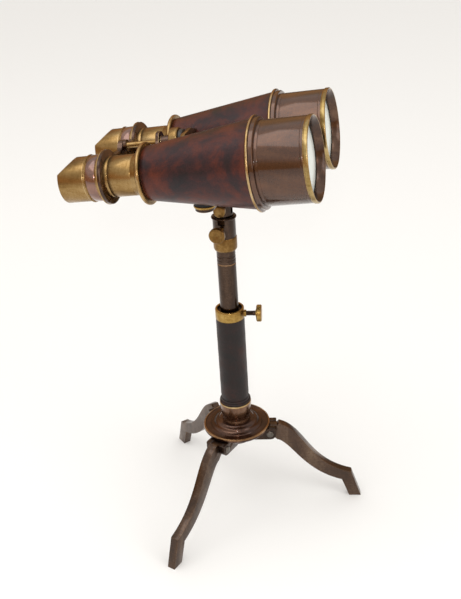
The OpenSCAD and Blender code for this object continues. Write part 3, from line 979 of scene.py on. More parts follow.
    def lens_cell(self, side: Side) -> None:
        """The black cell with a retaining ring that has two spanner notches."""
        lip, thread_r, wall, seat, stop = 23.9, 25.05, 26.2, 24.95, 23.0
        front, shoulder, glass, back = -5.7, -7.6, -9.2, -19.0
        profile = [
            (lip, front), (thread_r, front), (thread_r, shoulder), (wall, shoulder), (wall, back),
            (stop, back), (stop, back + 1), (seat, back + 1), (seat, glass), (lip + 0.3, glass),
            (lip, glass + 0.3),
        ]
        piece = turn(f"{side.label}_lens_cell", profile)
        combine(piece, block((-0.8, -26, -6.4), (0.8, 26, -4)), "DIFFERENCE")
        dress(piece, ("black_enamel",), soften=0.08)
        hand_over(piece, barrel(side), "binoculars", "black_enamel", f"{side.label}_objective_cell")

    def objectives(self) -> None:
        """The front glass of each objective, domed on both faces, with a step under the cell's lip."""
        steps, mouth, edge = 16, 23.85, 24.9
        dome = [(mouth * i / steps, -3.0 - 3.2 * (i / steps) ** 2) for i in range(steps + 1)]
        back = [(edge * i / steps, -14.5 + 2 * (i / steps) ** 2) for i in range(steps, -1, -1)]
        profile = [*dome, (mouth, -9.3), (edge, -9.5), *back]
        crowns = [moved(turn("crown", profile, closed=False), barrel(side)) for side in Side]
        piece = dress(joined("objective_lenses", crowns), ("lens_glass",), soften=0.0)
        hand_over(piece, Matrix.Identity(4), "binoculars", "lens_glass", "objective_crowns")

    def build(self) -> None:
        """Builds both barrels and the lenses."""
        for side in Side:
            self.bezel(side)
            self.objective_tube(side)
            self.mid_ring(side)
            self.leather(side)
            self.seam(side)
            self.rear_ring(side)
            self.lens_cell(side)
        self.objectives()


@dataclass
class Eyepieces:
    """What the focusing moves: bridge, rod, drawtubes and eyecups."""

    bridge_front: float = -141.4
    bridge_back: float = -144.7
    ring_back: float = -155.3
    cup_end: float = -174.0
    brow_cut: float = -164.2
    brow_slant: float = 54.0
    cup_r: float = 15.35
    cup_wall: float = 1.25
    ring_r: float = 16.22
    flange_r: float = 18.57
    rod_r: float = 2.0

    def drawtube(self, side: Side) -> None:
        """The plain brass tube that slides in the barrel."""
        r, front = 13.9, -95.0
        back = self.bridge_front
        lines = [point for z in (3.0, 19.5) for point in groove(r, back + z, 0.2, 0.12)]
        profile = [(12.9, back), (r, back), *lines, (r, front), (12.9, front)]
        piece = dress(turn(f"{side.label}_draw", profile), ("aged_brass",), soften=0.08)
        hand_over(piece, barrel(side), "eyepieces", "aged_brass", f"{side.label}_drawtube")

    def eye_ring(self, side: Side) -> None:
        """The lacquered ring between two bright beads."""
        back, front, r = self.ring_back, self.bridge_back, self.ring_r
        profile = [
            (12.0, back), (r - 0.8, back), *half_round(r - 0.75, back + 0.05, back + 1.55),
            (r - 0.8, back + 1.8), (r - 0.45, back + 2.4), (r - 0.45, front - 2.6),
            (r - 0.8, front - 2.0), *half_round(r - 0.75, front - 1.6, front - 0.1), (12.0, front),
        ]

        def paint(c: Vector) -> int:
            """Bright on the beads and red lacquer between them."""
            return BODY if back + 1.7 < c.z < front - 1.8 else WORN

        piece = dress(
            turn(f"{side.label}_eye_band", profile), ("red_lacquer", "aged_brass"), soften=0.0, paint=paint
        )
        hand_over(piece, barrel(side), "eyepieces", "dark_bronze", f"{side.label}_eye_ring")

    def eyecup(self, side: Side) -> None:
        """The brass eyecup, cut back at a slant for the brow and softened round its lip."""
        inner, long_end = self.cup_r - self.cup_wall, self.cup_end
        floor = self.ring_back - 2
        profile = [
            (8.5, self.ring_back), (self.cup_r - 0.3, self.ring_back), (self.cup_r, self.ring_back - 0.3),
            (self.cup_r, long_end), (inner, long_end), (inner, floor - 0.6), (inner - 0.6, floor),
            (9.0, floor), (8.5, floor + 0.5),
        ]
        piece = turn(f"{side.label}_cup", profile)
        focus(piece)
        bpy.ops.object.mode_set(mode="EDIT")
        bpy.ops.mesh.select_all(action="SELECT")
        lean = math.radians(self.brow_slant)
        away = (-math.sin(lean), 0, -math.cos(lean))
        bpy.ops.mesh.bisect(
            plane_co=(-self.cup_r, 0, self.brow_cut), plane_no=away, use_fill=True, clear_outer=True
        )
        bpy.ops.object.mode_set(mode="OBJECT")
        dress(
            piece, ("aged_brass", "rubbed_edge", "dark_bronze_barrel"), soften=0.22,
            paint=lambda c: DARK if off_axis(c) < inner + 0.2 and c.z < floor + 0.8 else BODY,
        )
        hand_over(piece, barrel(side), "eyepieces", "aged_brass", f"{side.label}_eyecup")

    def bridge(self) -> None:
        """The moving bridge: two flanges joined by a shaped web with the rod's boss."""
        back, front, half = self.bridge_back, self.bridge_front, HALF_SPACING
        piece = plate("moving_bridge", saddle_line(21, 8, 10.8, 15.4, 5.2), back, front)
        r = self.flange_r
        disc = [
            (0, back), (r - 0.9, back), (r - 0.1, back + 0.5), (r, back + 1.0), (r - 0.2, back + 1.3),
            (r - 0.2, front - 0.4), (r - 0.6, front), (0, front),
        ]
        for way in (-1, 1):
            flange = moved(turn("flange", disc, closed=False), Matrix.Translation((0, way * half, 0)))
            combine(piece, flange, "UNION")
        for way in (-1, 1):
            combine(piece, drum(12.0, back - 1, front + 1, (0, way * half), 96), "DIFFERENCE")
        combine(piece, drum(4.0, back, back + 5.5, (-ROD_HEIGHT, 0)), "UNION")
        combine(piece, drum(self.rod_r + 0.03, back - 1, front + 9, (-ROD_HEIGHT, 0)), "DIFFERENCE")

        def rim(c: Vector) -> int:
            """Bright on the flanges' rear edges."""
            return WORN if c.z < back + 1.25 and math.hypot(c.x, abs(c.y) - half) > r - 0.6 else BODY

        dress(piece, ("dark_bronze_barrel", "rubbed_edge"), soften=0.2, paint=rim)
        hand_over(piece, between(), "eyepieces", "dark_bronze", "rear_bridge")

    def focus_rod(self) -> None:
        """The rod with its screwed front stretch and a round nut behind the bridge."""
        r, back, front = self.rod_r, self.bridge_back, -84.0
        profile = [
            (0, back - 1.6), (2.4, back - 1.6), (3.1, back - 1.0), (3.1, back), (r, back),
            *thread(r, -112.0, front - 3, 0.7, 0.22), (r, front - 1.0), (r - 0.7, front), (0, front),
        ]
        piece = dress(turn("focus_spindle", profile, closed=False, steps=48), ("aged_brass",), soften=0.06)
        hand_over(piece, rod(), "eyepieces", "brass", "focus_rod")

    def build(self) -> None:
        """Builds everything that the focusing moves."""
        for side in Side:
            self.drawtube(side)
            self.eye_ring(side)
            self.eyecup(side)
        self.bridge()
        self.focus_rod()


@dataclass
class Focusing:
    """The fixed bridge, the knurled wheel with its black cap, and the front bracket."""

    plate_back: float = -115.8
    ring_r: float = 20.96
    rod_bore: float = 2.05
    wheel_back: float = -105.8
    wheel_r: float = 9.5
    cap_back: float = -99.4
    cap_front: float = -96.0

    def fixed_bridge(self) -> None:
        """The plate between the rear rings, with the bush that the rod runs in."""
        outline = saddle_line(14, 7, 12.5, 18.8, 5.6)
        piece = plate("fixed_bridge", outline, self.plate_back, CONE_BACK)
        for way in (-1, 1):
            at = (0, way * HALF_SPACING)
            combine(piece, drum(self.ring_r, self.plate_back - 1, CONE_BACK + 1, at, 128), "DIFFERENCE")
        bush = drum(4.0, self.plate_back + 0.5, CONE_BACK + 7.2, (-ROD_HEIGHT, 0))
        combine(piece, bush, "UNION")
        bore = drum(self.rod_bore, self.plate_back - 1, CONE_BACK + 9, (-ROD_HEIGHT, 0))
        combine(piece, bore, "DIFFERENCE")
        dress(piece, ("dark_bronze_barrel", "rubbed_edge"), soften=0.3, segments=3)
        hand_over(piece, between(), "binoculars", "brass", "rear_plate")

    def wheel(self) -> None:
        """The knurled wheel."""
        b, f, r = self.wheel_back, self.cap_back, self.wheel_r
        profile = [
            (self.rod_bore, b), (5.5, b), (6.2, b + 0.5), (r - 1.1, b + 0.5), (r - 0.6, b + 0.2),
            (r, b + 0.9), (r, f - 0.9), (r - 0.6, f - 0.2), (6, f), (self.rod_bore, f),
        ]
        piece = turn("knurled_wheel", profile)
        knurl(piece, r, b + 0.8, f - 0.8, 0.55)
        dress(piece, ("aged_brass", "rubbed_edge"), soften=0.08, sharp=20.0)
        hand_over(piece, rod(), "focus_wheel", "brass", "focus_wheel")

    def cap(self) -> None:
        """The black cap on the wheel's front face."""
        b, f = self.cap_back, self.cap_front
        profile = [
            (self.rod_bore, b), (7.2, b), (7.6, b + 0.5), (7.6, f - 1.0), (7.2, f - 0.35), (6.4, f),
            (3.6, f - 0.2), (3.2, f - 0.6), (self.rod_bore, f - 0.6),
        ]
        piece = dress(turn("wheel_black_cap", profile), ("black_cap",), soften=0.12)
        hand_over(piece, rod(), "focus_wheel", "black_enamel", "wheel_cap")

    def front_bracket(self, barrels: Barrels) -> None:
        """The small plate in front of the wheel, let in between the two cones."""
        back = self.cap_front + 0.2
        outline = [(-3, -17), (-3, 17), (-14, 17), (-16.2, 10), (-17.4, 7.7)]
        outline += [(x, -y) for x, y in reversed(outline[2:])]
        piece = plate("rod_bracket", outline, back, back + 3)
        for way in (-1, 1):
            r0, r1 = barrels.cone_r(back - 1) + 0.05, barrels.cone_r(back + 4) + 0.05
            deselect()
            bpy.ops.mesh.primitive_cone_add(
                vertices=128, radius1=r0, radius2=r1, depth=5,
                location=(0, way * HALF_SPACING, back + 1.5),
            )
            combine(piece, bpy.context.active_object, "DIFFERENCE")
        combine(piece, drum(self.rod_bore, back - 1, back + 6, (-ROD_HEIGHT, 0)), "DIFFERENCE")
        dress(piece, ("aged_brass", "rubbed_edge"), soften=0.25)
        hand_over(piece, between(), "binoculars", "aged_brass", "front_bracket")

    def build(self, barrels: Barrels) -> None:
        """Builds the focusing parts that stay with the barrels."""
        self.fixed_bridge()
        self.wheel()
        self.cap()
        self.front_bracket(barrels)


@dataclass
class Cradle:
    """The arm under the barrels with its discs and screws."""

    arm_top: float = 12.6
    arm_thick: float = 2.2
    arm_r: float = 6.5
    tongue: float = 5.0
    eye_r: float = 4.0
    pin_bore: float = 1.8
    disc_r: float = 7.5
    disc_thick: float = 1.9
    set_back: float = -3.0

    def pair(self, first: bpy.types.Object, name: str, twist: float = 0.0) -> bpy.types.Object:
        """A piece and its copy as one, under the left and the right barrel.

        Args:
            first: The piece, on the column's axis.
            name: Name of the pair.
            twist: Turn of the copy about its own axis, in radians.

        Returns:
            The pair.
        """
        second = copied(first, name)
        moved(first, Matrix.Translation((self.set_back, HALF_SPACING, 0)))
        aside = Matrix.Translation((self.set_back, -HALF_SPACING, 0))
        moved(second, aside @ Matrix.Rotation(twist, 4, "Z"))
        return joined(name, [first, second])

    def arm(self) -> None:
        """The cross arm and the tongue that hangs in the fork."""
        r = self.arm_r
        ends = arc((0, HALF_SPACING), r, 0, 180, 24) + arc((0, -HALF_SPACING), r, 180, 360, 24)
        piece = plate("cradle_arm", ends, self.arm_top - self.arm_thick, self.arm_top)
        moved(piece, Matrix.Translation((self.set_back, 0, 0)))
        flank = [(-5.5, self.arm_top - 1), (-5.5, 4.6), (-4.0, 3.4), *arc((0, 0), self.eye_r, 180, 360, 24)]
        flank += [(3.5, 4.6), (3.5, self.arm_top - 1)]
        tongue = plate("tongue", flank, -self.tongue / 2, self.tongue / 2)
        moved(tongue, LAID)
        combine(piece, tongue, "UNION")
        combine(piece, moved(drum(self.pin_bore, -9, 9), LAID), "DIFFERENCE")
        dress(piece, ("dark_bronze_column", "rubbed_bronze_edge"), soften=0.35, segments=3)
        hand_over(piece, column(TILT_PIVOT.z), "binoculars", "dark_bronze", "bracket")

    def discs(self) -> None:
        """The thin brass discs that the barrels sit on."""
        low, r = self.arm_top, self.disc_r
        high = low + self.disc_thick
        profile = [(1.6, low), (r - 0.5, low), (r, low + 0.5), (r, high - 0.4), (r - 0.4, high), (1.6, high)]
        piece = self.pair(turn("disc", profile), "saddle_rims")
        dress(piece, ("polished_brass_column",), soften=0.1)
        hand_over(piece, column(TILT_PIVOT.z), "binoculars", "brass", "saddle_discs")

    def screws(self) -> None:
        """The slotted screws that hold the barrels down."""
        under = self.arm_top - self.arm_thick
        top = self.arm_top + self.disc_thick + 3.2
        profile = [
            (0, under - 1.8), (1.6, under - 1.7), (2.4, under - 1.35), (2.8, under - 0.7), (2.8, under),
            (1.5, under), (1.5, top), (0, top),
        ]
        first = turn("screw", profile, closed=False, steps=48)
        combine(first, block((-4, -0.3, under - 3), (4, 0.3, under - 1.1)), "DIFFERENCE")
        piece = dress(self.pair(first, "saddle_screw_pair", twist=0.6), ("dull_steel",), soften=0.08)
        hand_over(piece, column(TILT_PIVOT.z), "binoculars", "steel", "saddle_screws")

    def build(self) -> None:
        """Builds the cradle."""
        self.arm()
        self.discs()
        self.screws()


# ---- the head and the mast ----


@dataclass
class Head:
    """Fork, socket and the screws of the pan and tilt head."""

    stem_r: float = 5.0
    fork_r: float = 6.7
    fork_top: float = 262.6
    slot: float = 5.2
    flat: float = 5.9
    socket_r: float = 8.2
    socket_top: float = 250.5
    socket_low: float = 225.0
    band_top: float = 234.5
    pan_z: float = 242.5

    def fork(self) -> None:
        """The stem that turns in the socket, slotted into a fork at its top."""
        r, f, top = self.stem_r, self.fork_r, self.fork_top
        base = self.socket_top + 0.1
        profile = [
            (0, MAST_TOP + 0.4), (r, MAST_TOP + 0.4), (r, base), (f - 0.4, base), (f, base + 0.4),
            (f, top - 0.7), (f - 0.7, top), (0, top),
        ]
        piece = turn("head_fork", profile, closed=False)
        pivot = TILT_PIVOT.z
        slot = block((-10, -self.slot / 2, pivot - 4.3), (10, self.slot / 2, pivot + 20))
        combine(piece, slot, "DIFFERENCE")
        for way in (-1, 1):
            low, high = sorted((way * self.flat, way * 12))
            combine(piece, block((-10, low, pivot - 4.3), (10, high, pivot + 20)), "DIFFERENCE")
        pin = moved(drum(1.8, -9, 9), Matrix.Translation((0, 0, pivot)) @ LAID)
        combine(piece, pin, "DIFFERENCE")
        dress(piece, ("dark_bronze_column", "rubbed_bronze_edge"), soften=0.25)
        hand_over(piece, column(), "stem", "dark_bronze", "head_stem")

    def tilt_parts(self) -> None:
        """The tilt screw with its domed head, the washer and the nut."""
        profile = [
            (0, -9), (1.4, -9), (1.75, -8.6), (1.75, 6.6), (3.3, 6.6), (3.3, 7.6), (3.9, 7.7), (4.3, 8.1),
            (4.3, 10.9), (3.9, 11.4), (3.2, 11.65), (0, 11.7),
        ]
        screw = turn("tilt_thumb_screw", profile, closed=False, steps=64)
        dress(screw, ("aged_brass_column", "rubbed_edge"), soften=0.1)
        hand_over(screw, outward(-90, TILT_PIVOT.z), "tilt_screw", "brass", "tilt_screw")
        nut = drum(3.6, -8.4, -5.9, sides=6)
        combine(nut, drum(1.8, -12, 0), "DIFFERENCE")
        nut.name = nut.data.name = "tilt_hex_nut"
        dress(nut, ("polished_brass_column", "rubbed_edge"), soften=0.3)
        hand_over(nut, outward(-90, TILT_PIVOT.z), "stem", "brass", "tilt_nut")

    def socket(self) -> None:
        """The bronze socket with its rolled rim and the window over the pan screw."""
        r, top, low = self.socket_r, self.socket_top, self.socket_low
        bore = self.stem_r + 0.05
        profile = [
            (MAST_R + 0.03, low), (r - 0.6, low), (r - 0.6, self.band_top), (r, self.band_top),
            (r, top - 2.3), *half_round(r, top - 2.1, top - 0.3), (r - 0.2, top), (bore, top),
            (bore, MAST_TOP), (MAST_R + 0.03, MAST_TOP),
        ]
        piece = turn("pan_socket", profile)
        window = block((-2.5, -12, self.pan_z + 2.7), (2.5, -6, self.pan_z + 6.9))
        combine(piece, window, "DIFFERENCE")
        hole = moved(drum(1.7, 4, 12), Matrix.Translation((0, 0, self.pan_z)) @ LAID)
        combine(piece, hole, "DIFFERENCE")
        dress(piece, ("dark_bronze_column", "rubbed_bronze_edge"), soften=0.12)
        hand_over(piece, column(), "mast", "dark_bronze", "head_socket")
        b, t = low, self.band_top
        band = [
            (7.65, b - 0.6), (7.95, b - 0.6), (8.5, b + 0.5), (8.6, b + 1.0), (8.6, t - 0.6), (8.35, t),
            (7.65, t),
        ]
        ring = dress(turn("golden_band", band), ("aged_brass_column", "rubbed_edge"), soften=0.12)
        hand_over(ring, column(), "mast", "brass", "socket_band")

    def pan_screw(self) -> None:
        """The pan screw's round knob, slightly dished, with a centre dot."""
        rim = 5.9
        head = [
            (1.65, 16.6), (2.6, 17.0), (2.6, 17.8), (rim - 0.5, 18.0), (rim, 18.5), (rim, 20.6),
            (rim - 0.45, 21.15), (rim - 1.3, 21.25), (rim - 1.6, 21.05), (1.0, 20.95), (0.6, 20.75),
            (0, 20.7),
        ]
        piece = thumb_screw("pan_thumb_screw", head, self.stem_r + 1.45, 1.65)
        dress(piece, ("aged_brass_column", "rubbed_edge"), soften=0.0)
        hand_over(piece, outward(-90, self.pan_z), "pan_screw", "aged_brass", "pan_screw")

    def build(self) -> None:
        """Builds the head."""
        self.fork()
        self.tilt_parts()
        self.socket()
        self.pan_screw()


@dataclass
class Column:
    """Mast, clamp collar, leather sleeve, ferrule and the height screw."""

    mast_low: float = 128.0
    bright_line: float = 213.4
    sleeve_r: float = 10.8
    sleeve_low: float = 98.5
    collar_low: float = 168.7
    collar_top: float = 176.6
    tube_ro: float = 9.83
    tube_ri: float = 8.25
    ferrule_top: float = 94.5
    tube_seat: float = 87.0
    flange_top: float = 77.8
    neck_r: float = 9.0
    spigot_r: float = 6.0
    spigot_low: float = 58.4
    bore_r: float = 8.3
    bore_floor: float = 76.5
    screw_z: float = 171.4
    screw_azimuth: float = 9.0

    def mast(self) -> None:
        """The bronze mast with its engraved height lines."""
        r = MAST_R

        def line(z: float, half: float) -> list[Point]:
            """A flat-bottomed engraved line."""
            return [(r, z - half), (r - 0.28, z - half / 2), (r - 0.28, z + half / 2), (r, z + half)]

        profile = [
            (5.6, self.mast_low), (r, self.mast_low), *line(self.bright_line, 0.5), *line(217.0, 0.7),
            *line(219.6, 0.7), (r, MAST_TOP), (5.6, MAST_TOP),
        ]

        def paint(c: Vector) -> int:
            """Bright metal in the lowest engraved line."""
            return WORN if abs(c.z - self.bright_line) < 0.6 and off_axis(c) < r - 0.02 else BODY

        piece = dress(
            turn("mast_bronze_tube", profile), ("dark_bronze_column", "rubbed_bronze_edge"),
            soften=0.0, paint=paint,
        )
        hand_over(piece, column(), "mast", "dark_bronze", "mast_tube")

    def collar(self) -> None:
        """The clamp collar, open at the top, with the boss for the height screw."""
        bore, low, top, r = MAST_R + 0.05, self.collar_low, self.collar_top, self.sleeve_r + 0.1
        skirt_r, skirt_low, well_r, floor = self.tube_ri - 0.03, low - 8.7, 9.2, top - 2.8
        profile = [
            (bore, skirt_low), (skirt_r, skirt_low), (skirt_r, low), (r, low), (r, top - 0.9),
            (r - 0.25, top - 0.3), (r - 0.8, top), (well_r + 0.3, top), (well_r, top - 0.4),
            (well_r, floor), (bore, floor),
        ]
        piece = turn("clamp_ring", profile)
        azimuth = Matrix.Rotation(math.radians(self.screw_azimuth), 4, "Z")
        level = Matrix.Rotation(math.pi / 2, 4, "Y")
        aim = Matrix.Translation((0, 0, self.screw_z)) @ azimuth @ level
        combine(piece, moved(drum(2.6, 9.6, 12.4), aim), "UNION")
        combine(piece, moved(drum(1.95, 5, 14), aim), "DIFFERENCE")
        dress(
            piece, ("polished_brass_column", "rubbed_edge", "dark_bronze_column"), soften=0.15,
            paint=lambda c: DARK if off_axis(c) < well_r + 0.1 else BODY,
        )
        hand_over(piece, column(), "stand", "brass", "clamp_collar")

    def height_screw(self) -> None:
        """The height screw with a bright round head; its shank is painted dark bronze as painted shadow where it
        goes into the collar.
        """
        head = [
            (1.9, 19.1), (2.8, 19.5), (2.8, 20.0), (6.1, 20.1), (6.6, 20.6), (6.6, 23.3), (6.15, 23.85),
            (0, 23.9),
        ]
        piece = thumb_screw("height_thumb_screw", head, MAST_R + 1.9, 1.9)
        dress(
            piece, ("polished_brass_column", "rubbed_edge", "dark_bronze_column"), soften=0.0,
            # Painted shadow: everything below the head takes the dark bronze, for the shade where the screw enters
            # the collar.
            paint=lambda c: BODY if c.z > 19.2 else DARK,
        )
        hand_over(
            piece, outward(self.screw_azimuth, self.screw_z), "height_screw", "brass", "height_screw"
        )

    def sleeve(self) -> None:
        """The leather sleeve, its sewn seam at the back and the rolled rim at its foot."""
        low, top, r = self.sleeve_low, self.collar_low, self.sleeve_r
        steps = 20
        skin = [(r + 0.04 * math.sin(i * 1.7), low + (top - low) * i / steps) for i in range(1, steps)]
        profile = [
            (self.tube_ro, low), (r - 0.3, low), *skin, (r - 0.1, top - 0.3), (r - 0.4, top),
            (self.tube_ro, top),
        ]
        piece = dress(turn("column_hide_sleeve", profile), ("column_hide",), soften=0.0)
        hand_over(piece, column(), "stand", "column_leather", "column_leather")
        rim = [
            (self.tube_ro, self.ferrule_top), (11.6, self.ferrule_top),
            *half_round(11.1, self.ferrule_top + 0.1, self.ferrule_top + 2.1),
            (11.0, low - 0.8), (r + 0.1, low), (self.tube_ro, low),
        ]
        piece = dress(turn("rolled_hide_rim", rim), ("column_hide",), soften=0.0)
        hand_over(piece, column(), "stand", "column_leather", "leather_rim")
        piece = stitch_row(
            "column_stitches", 26, (0.2, 0.3, 0.85), 20,
            lambda share: Matrix.Translation((r, 0, low + 2 + (top - low - 4) * share)),
        )
        dress(piece, ("black_pad_leather",), soften=0.0)
        hand_over(piece, column() @ Matrix.Rotation(math.radians(118), 4, "Z"), "stand", "column_leather")

    def ferrule(self) -> None:
        """The waisted brass ferrule between sleeve and base."""
        foot, top = self.flange_top, self.ferrule_top
        waist = [
            (11.3, foot), (11.3, foot + 0.8), (11.0, foot + 2.0), (11.0, foot + 3.4), (11.25, foot + 5.0),
            (11.5, foot + 6.5), (11.8, foot + 9.0), (12.0, foot + 11.0), (12.3, foot + 14.0),
            (12.35, top - 0.9), (12.3, top - 0.3), (12.0, top),
        ]
        profile = [
            (0, self.spigot_low), (self.spigot_r, self.spigot_low), (self.spigot_r, FLANGE_LOW),
            (self.neck_r, FLANGE_LOW), (self.neck_r, foot), *waist, (self.tube_ro, top),
            (self.tube_ro, self.tube_seat), (self.bore_r, self.tube_seat), (self.bore_r, self.bore_floor),
            (0, self.bore_floor),
        ]
        piece = dress(
            turn("neck_ferrule_brass", profile, closed=False), ("ferrule_bronze", "rubbed_edge"),
            soften=0.0, paint=lambda c: WORN if c.z > top - 1.3 and off_axis(c) > 11.7 else BODY,
        )
        hand_over(piece, column(), "stand", "brass", "neck_ferrule")

    def build(self) -> None:
        """Builds the column and mast."""
        self.mast()
        self.collar()
        self.height_screw()
        self.sleeve()
        self.ferrule()


# ---- the base and legs ----


@dataclass
class Base:
    """Turned flange, hub, pins and the three folding legs."""

    flange_r: float = 26.4
    hub_low: float = 59.8
    hub_r: float = 12.5
    nut_r: float = 9.0
    nut_thick: float = 2.4
    bore: float = 6.03
    neck: float = 9.03
    pivot_r: float = 26.5
    pivot_z: float = 65.8
    leg_w: float = 6.4
    eye_r: float = 4.7
    cheek: float = 4.6
    pin_r: float = 1.9
    leg_run: float = 73.8
    leg_steps: int = 40
    foot_slope: float = 72.0
    foot_w: float = 9.0

    def flange(self) -> None:
        """The round base, turned with a rim, a hollow, a step and a swelling to the neck."""
        b, r = FLANGE_LOW, self.flange_r
        swell = arc((15.0, b + 3.9), 2.2, 20, 90, 8)
        profile = [
            (self.neck, b), (r - 0.7, b), (r, b + 0.8), (r, b + 2.2), (r - 0.25, b + 2.9), (r - 0.8, b + 3.2),
            (r - 1.4, b + 3.1), (r - 1.9, b + 2.5), (r - 3.0, b + 2.35), (20.4, b + 2.75), (19.9, b + 3.3),
            (18.6, b + 3.5), *swell, (14.2, b + 6.5), (13.4, b + 7.1), (self.neck, b + 7.1),
        ]
        piece = dress(
            turn("base_plate_turned", profile), ("base_bronze", "rubbed_bronze_edge"), soften=0.0,
            paint=lambda c: WORN if off_axis(c) > r - 1.5 and c.z > b + 1.9 else BODY,
        )
        hand_over(piece, column(), "stand", "dark_bronze", "base_flange")

    def leg_turn(self, index: int) -> Matrix:
        """The turn about the column that leg number index stands at, from its packed hinge."""
        x, y, _ = joint(f"leg_{LEG_WORDS[index]}_fold")["pos_m"]
        return Matrix.Rotation(math.atan2(y, x), 4, "Z")

    def hub(self) -> None:
        """The hub with a pair of rounded cheeks for each leg, and a stop ledge between them."""
        b, top = self.hub_low, FLANGE_LOW
        profile = [
            (self.bore, b), (self.hub_r - 0.5, b), (self.hub_r, b + 0.5), (self.hub_r, top),
            (self.bore, top),
        ]
        piece = turn("leg_hub_bronze", profile)
        slot = self.leg_w / 2 + 0.25
        r = self.eye_r + 0.2
        outline = [(12, self.pivot_z - r), *arc((self.pivot_r, self.pivot_z), r, -90, 0, 12)]
        outline += [(self.pivot_r + r, top - 0.4), (self.pivot_r + r - 0.5, top - 0.02), (12, top - 0.02)]
        for index in range(3):
            spin = self.leg_turn(index)
            ledge = block((10, -slot - 1, b + 0.6), (22.5, slot + 1, b + 2.6))
            combine(piece, moved(ledge, spin), "UNION")
            for start in (slot, -slot - self.cheek):
                cheek = plate("cheek", outline, start, start + self.cheek)
                combine(piece, moved(cheek, spin @ LAID), "UNION")
            pin = drum(self.pin_r + 0.03, -20, 20, (self.pivot_r, self.pivot_z), 48)
            combine(piece, moved(pin, spin @ LAID), "DIFFERENCE")
        dress(piece, ("dark_bronze_column", "rubbed_bronze_edge"), soften=0.25)
        hand_over(piece, column(), "stand", "dark_bronze", "leg_hub")

    def nut(self) -> None:
        """The eight-sided nut under the hub."""
        nut = drum(self.nut_r, self.hub_low - self.nut_thick, self.hub_low, sides=8)
        combine(nut, drum(self.bore, 40, 70, sides=96), "DIFFERENCE")
        nut.name = nut.data.name = "hub_lock_nut"
        dress(nut, ("dark_bronze_column", "rubbed_bronze_edge"), soften=0.4, segments=3)
        hand_over(nut, column(), "stand", "aged_brass", "hub_nut")

    def pins(self) -> None:
        """The leg pins with their domed heads."""
        half = self.leg_w / 2 + 0.25 + self.cheek
        dome = [(2.8, 0.0), (2.8, 0.35), (2.2, 0.75), (1.2, 0.9)]
        profile = [(0, -half - 0.9), *[(r, -half - z) for r, z in reversed(dome)], (self.pin_r, -half)]
        profile += [(self.pin_r, half), *[(r, half + z) for r, z in dome], (0, half + 0.9)]
        aim = Matrix.Translation((self.pivot_r, 0, self.pivot_z)) @ LAID
        pins = [
            moved(turn("pin", profile, closed=False, steps=48), self.leg_turn(i) @ aim) for i in range(3)
        ]
        piece = dress(joined("leg_pin_set", pins), ("dull_steel",), soften=0.06)
        hand_over(piece, column(), "stand", "steel", "leg_pins")

    def leg_outline(self) -> list[Point]:
        """The side view of a leg as (radius, height) corners: eye, curved bar and kicked foot.

        Returns:
            The closed outline.
        """
        n, at = self.leg_steps, Vector((33.0, 64.7))

        def slope(t: float) -> float:
            """Fall of the bar's middle line at a share of its run."""
            return math.radians(4 + 10 * t + 46 * math.sin(math.pi * t**0.56))

        def depth(t: float) -> float:
            """Depth of the bar, which thins towards the foot."""
            return 15.5 - 6.6 * math.sqrt(t)

        top, bottom = [], []
        for i in range(n + 1):
            if i:
                a = slope((i - 0.5) / n)
                at = at + self.leg_run / n * Vector((math.cos(a), -math.sin(a)))
            a = slope(i / n)
            across = depth(i / n) / 2 * Vector((math.sin(a), math.cos(a)))
            top.append(tuple(at + across))
            bottom.append(tuple(at - across))
        heel = (top[-1][0] + 1.2, top[-1][1] - 0.5)
        instep = (bottom[-1][0] - 4.6, bottom[-1][1] + 1.4)
        sole_out = heel[0] + heel[1] / math.tan(math.radians(self.foot_slope))
        sole_in = sole_out - self.foot_w / math.sin(math.radians(self.foot_slope))
        r, z, e = self.pivot_r, self.pivot_z, self.eye_r
        root = [(r - 6, z - 3.3), (r - 6, z), *arc((r, z), e, 135, 90, 4), (31.9, z + e)]
        close = [(r + 1.4, z - e + 0.2), (r - 2, z - 3.3)]
        return root + top + [heel, (sole_out, 0), (sole_in, 0), instep] + bottom[-2::-1] + close

    def legs(self) -> None:
        """Makes one leg, and gives each hinge its own copy of it."""
        half = self.leg_w / 2
        first = plate("leg", self.leg_outline(), -half, half)
        combine(first, drum(self.pin_r + 0.05, -9, 9, (self.pivot_r, self.pivot_z), 48), "DIFFERENCE")
        moved(first, LAID)
        dress(first, ("cast_leg_bronze", "rubbed_bronze_edge"), soften=0.55, segments=3, sharp=28.0)
        for index, word in enumerate(LEG_WORDS):
            piece = copied(first, f"{word}_leg_casting")
            place = column() @ self.leg_turn(index)
            hand_over(piece, place, f"leg_{word}", "leg_bronze", f"leg_{word}")
        bpy.data.objects.remove(first)

    def build(self) -> None:
        """Builds the base."""
        self.flange()
        self.hub()
        self.nut()
        self.pins()
        self.legs()


def dress_kept_nodes() -> None:
    """Gives the CAD nodes that stay their finishes."""
    kept = {
        "outer_tube": "aged_brass_column",
        "mast_foot": "aged_brass_column",
        "height_pad": "aged_brass_column",
        "pan_pad": "aged_brass_column",
        "tilt_washer": "polished_brass_column",
        # The saddle pads' black is partly painted shadow: it stands in for the contact shadow under the barrels.
        "saddle_pads": "black_pad_leather",
        "objective_flints": "lens_glass",
        "eye_cells": "black_enamel",
        "eye_lenses": "lens_glass",
    }
    for node, finish in kept.items():
        data = frame["nodes"][node].data
        data.materials.clear()
        data.materials.append(MATERIALS[finish])


# ---- studio ----


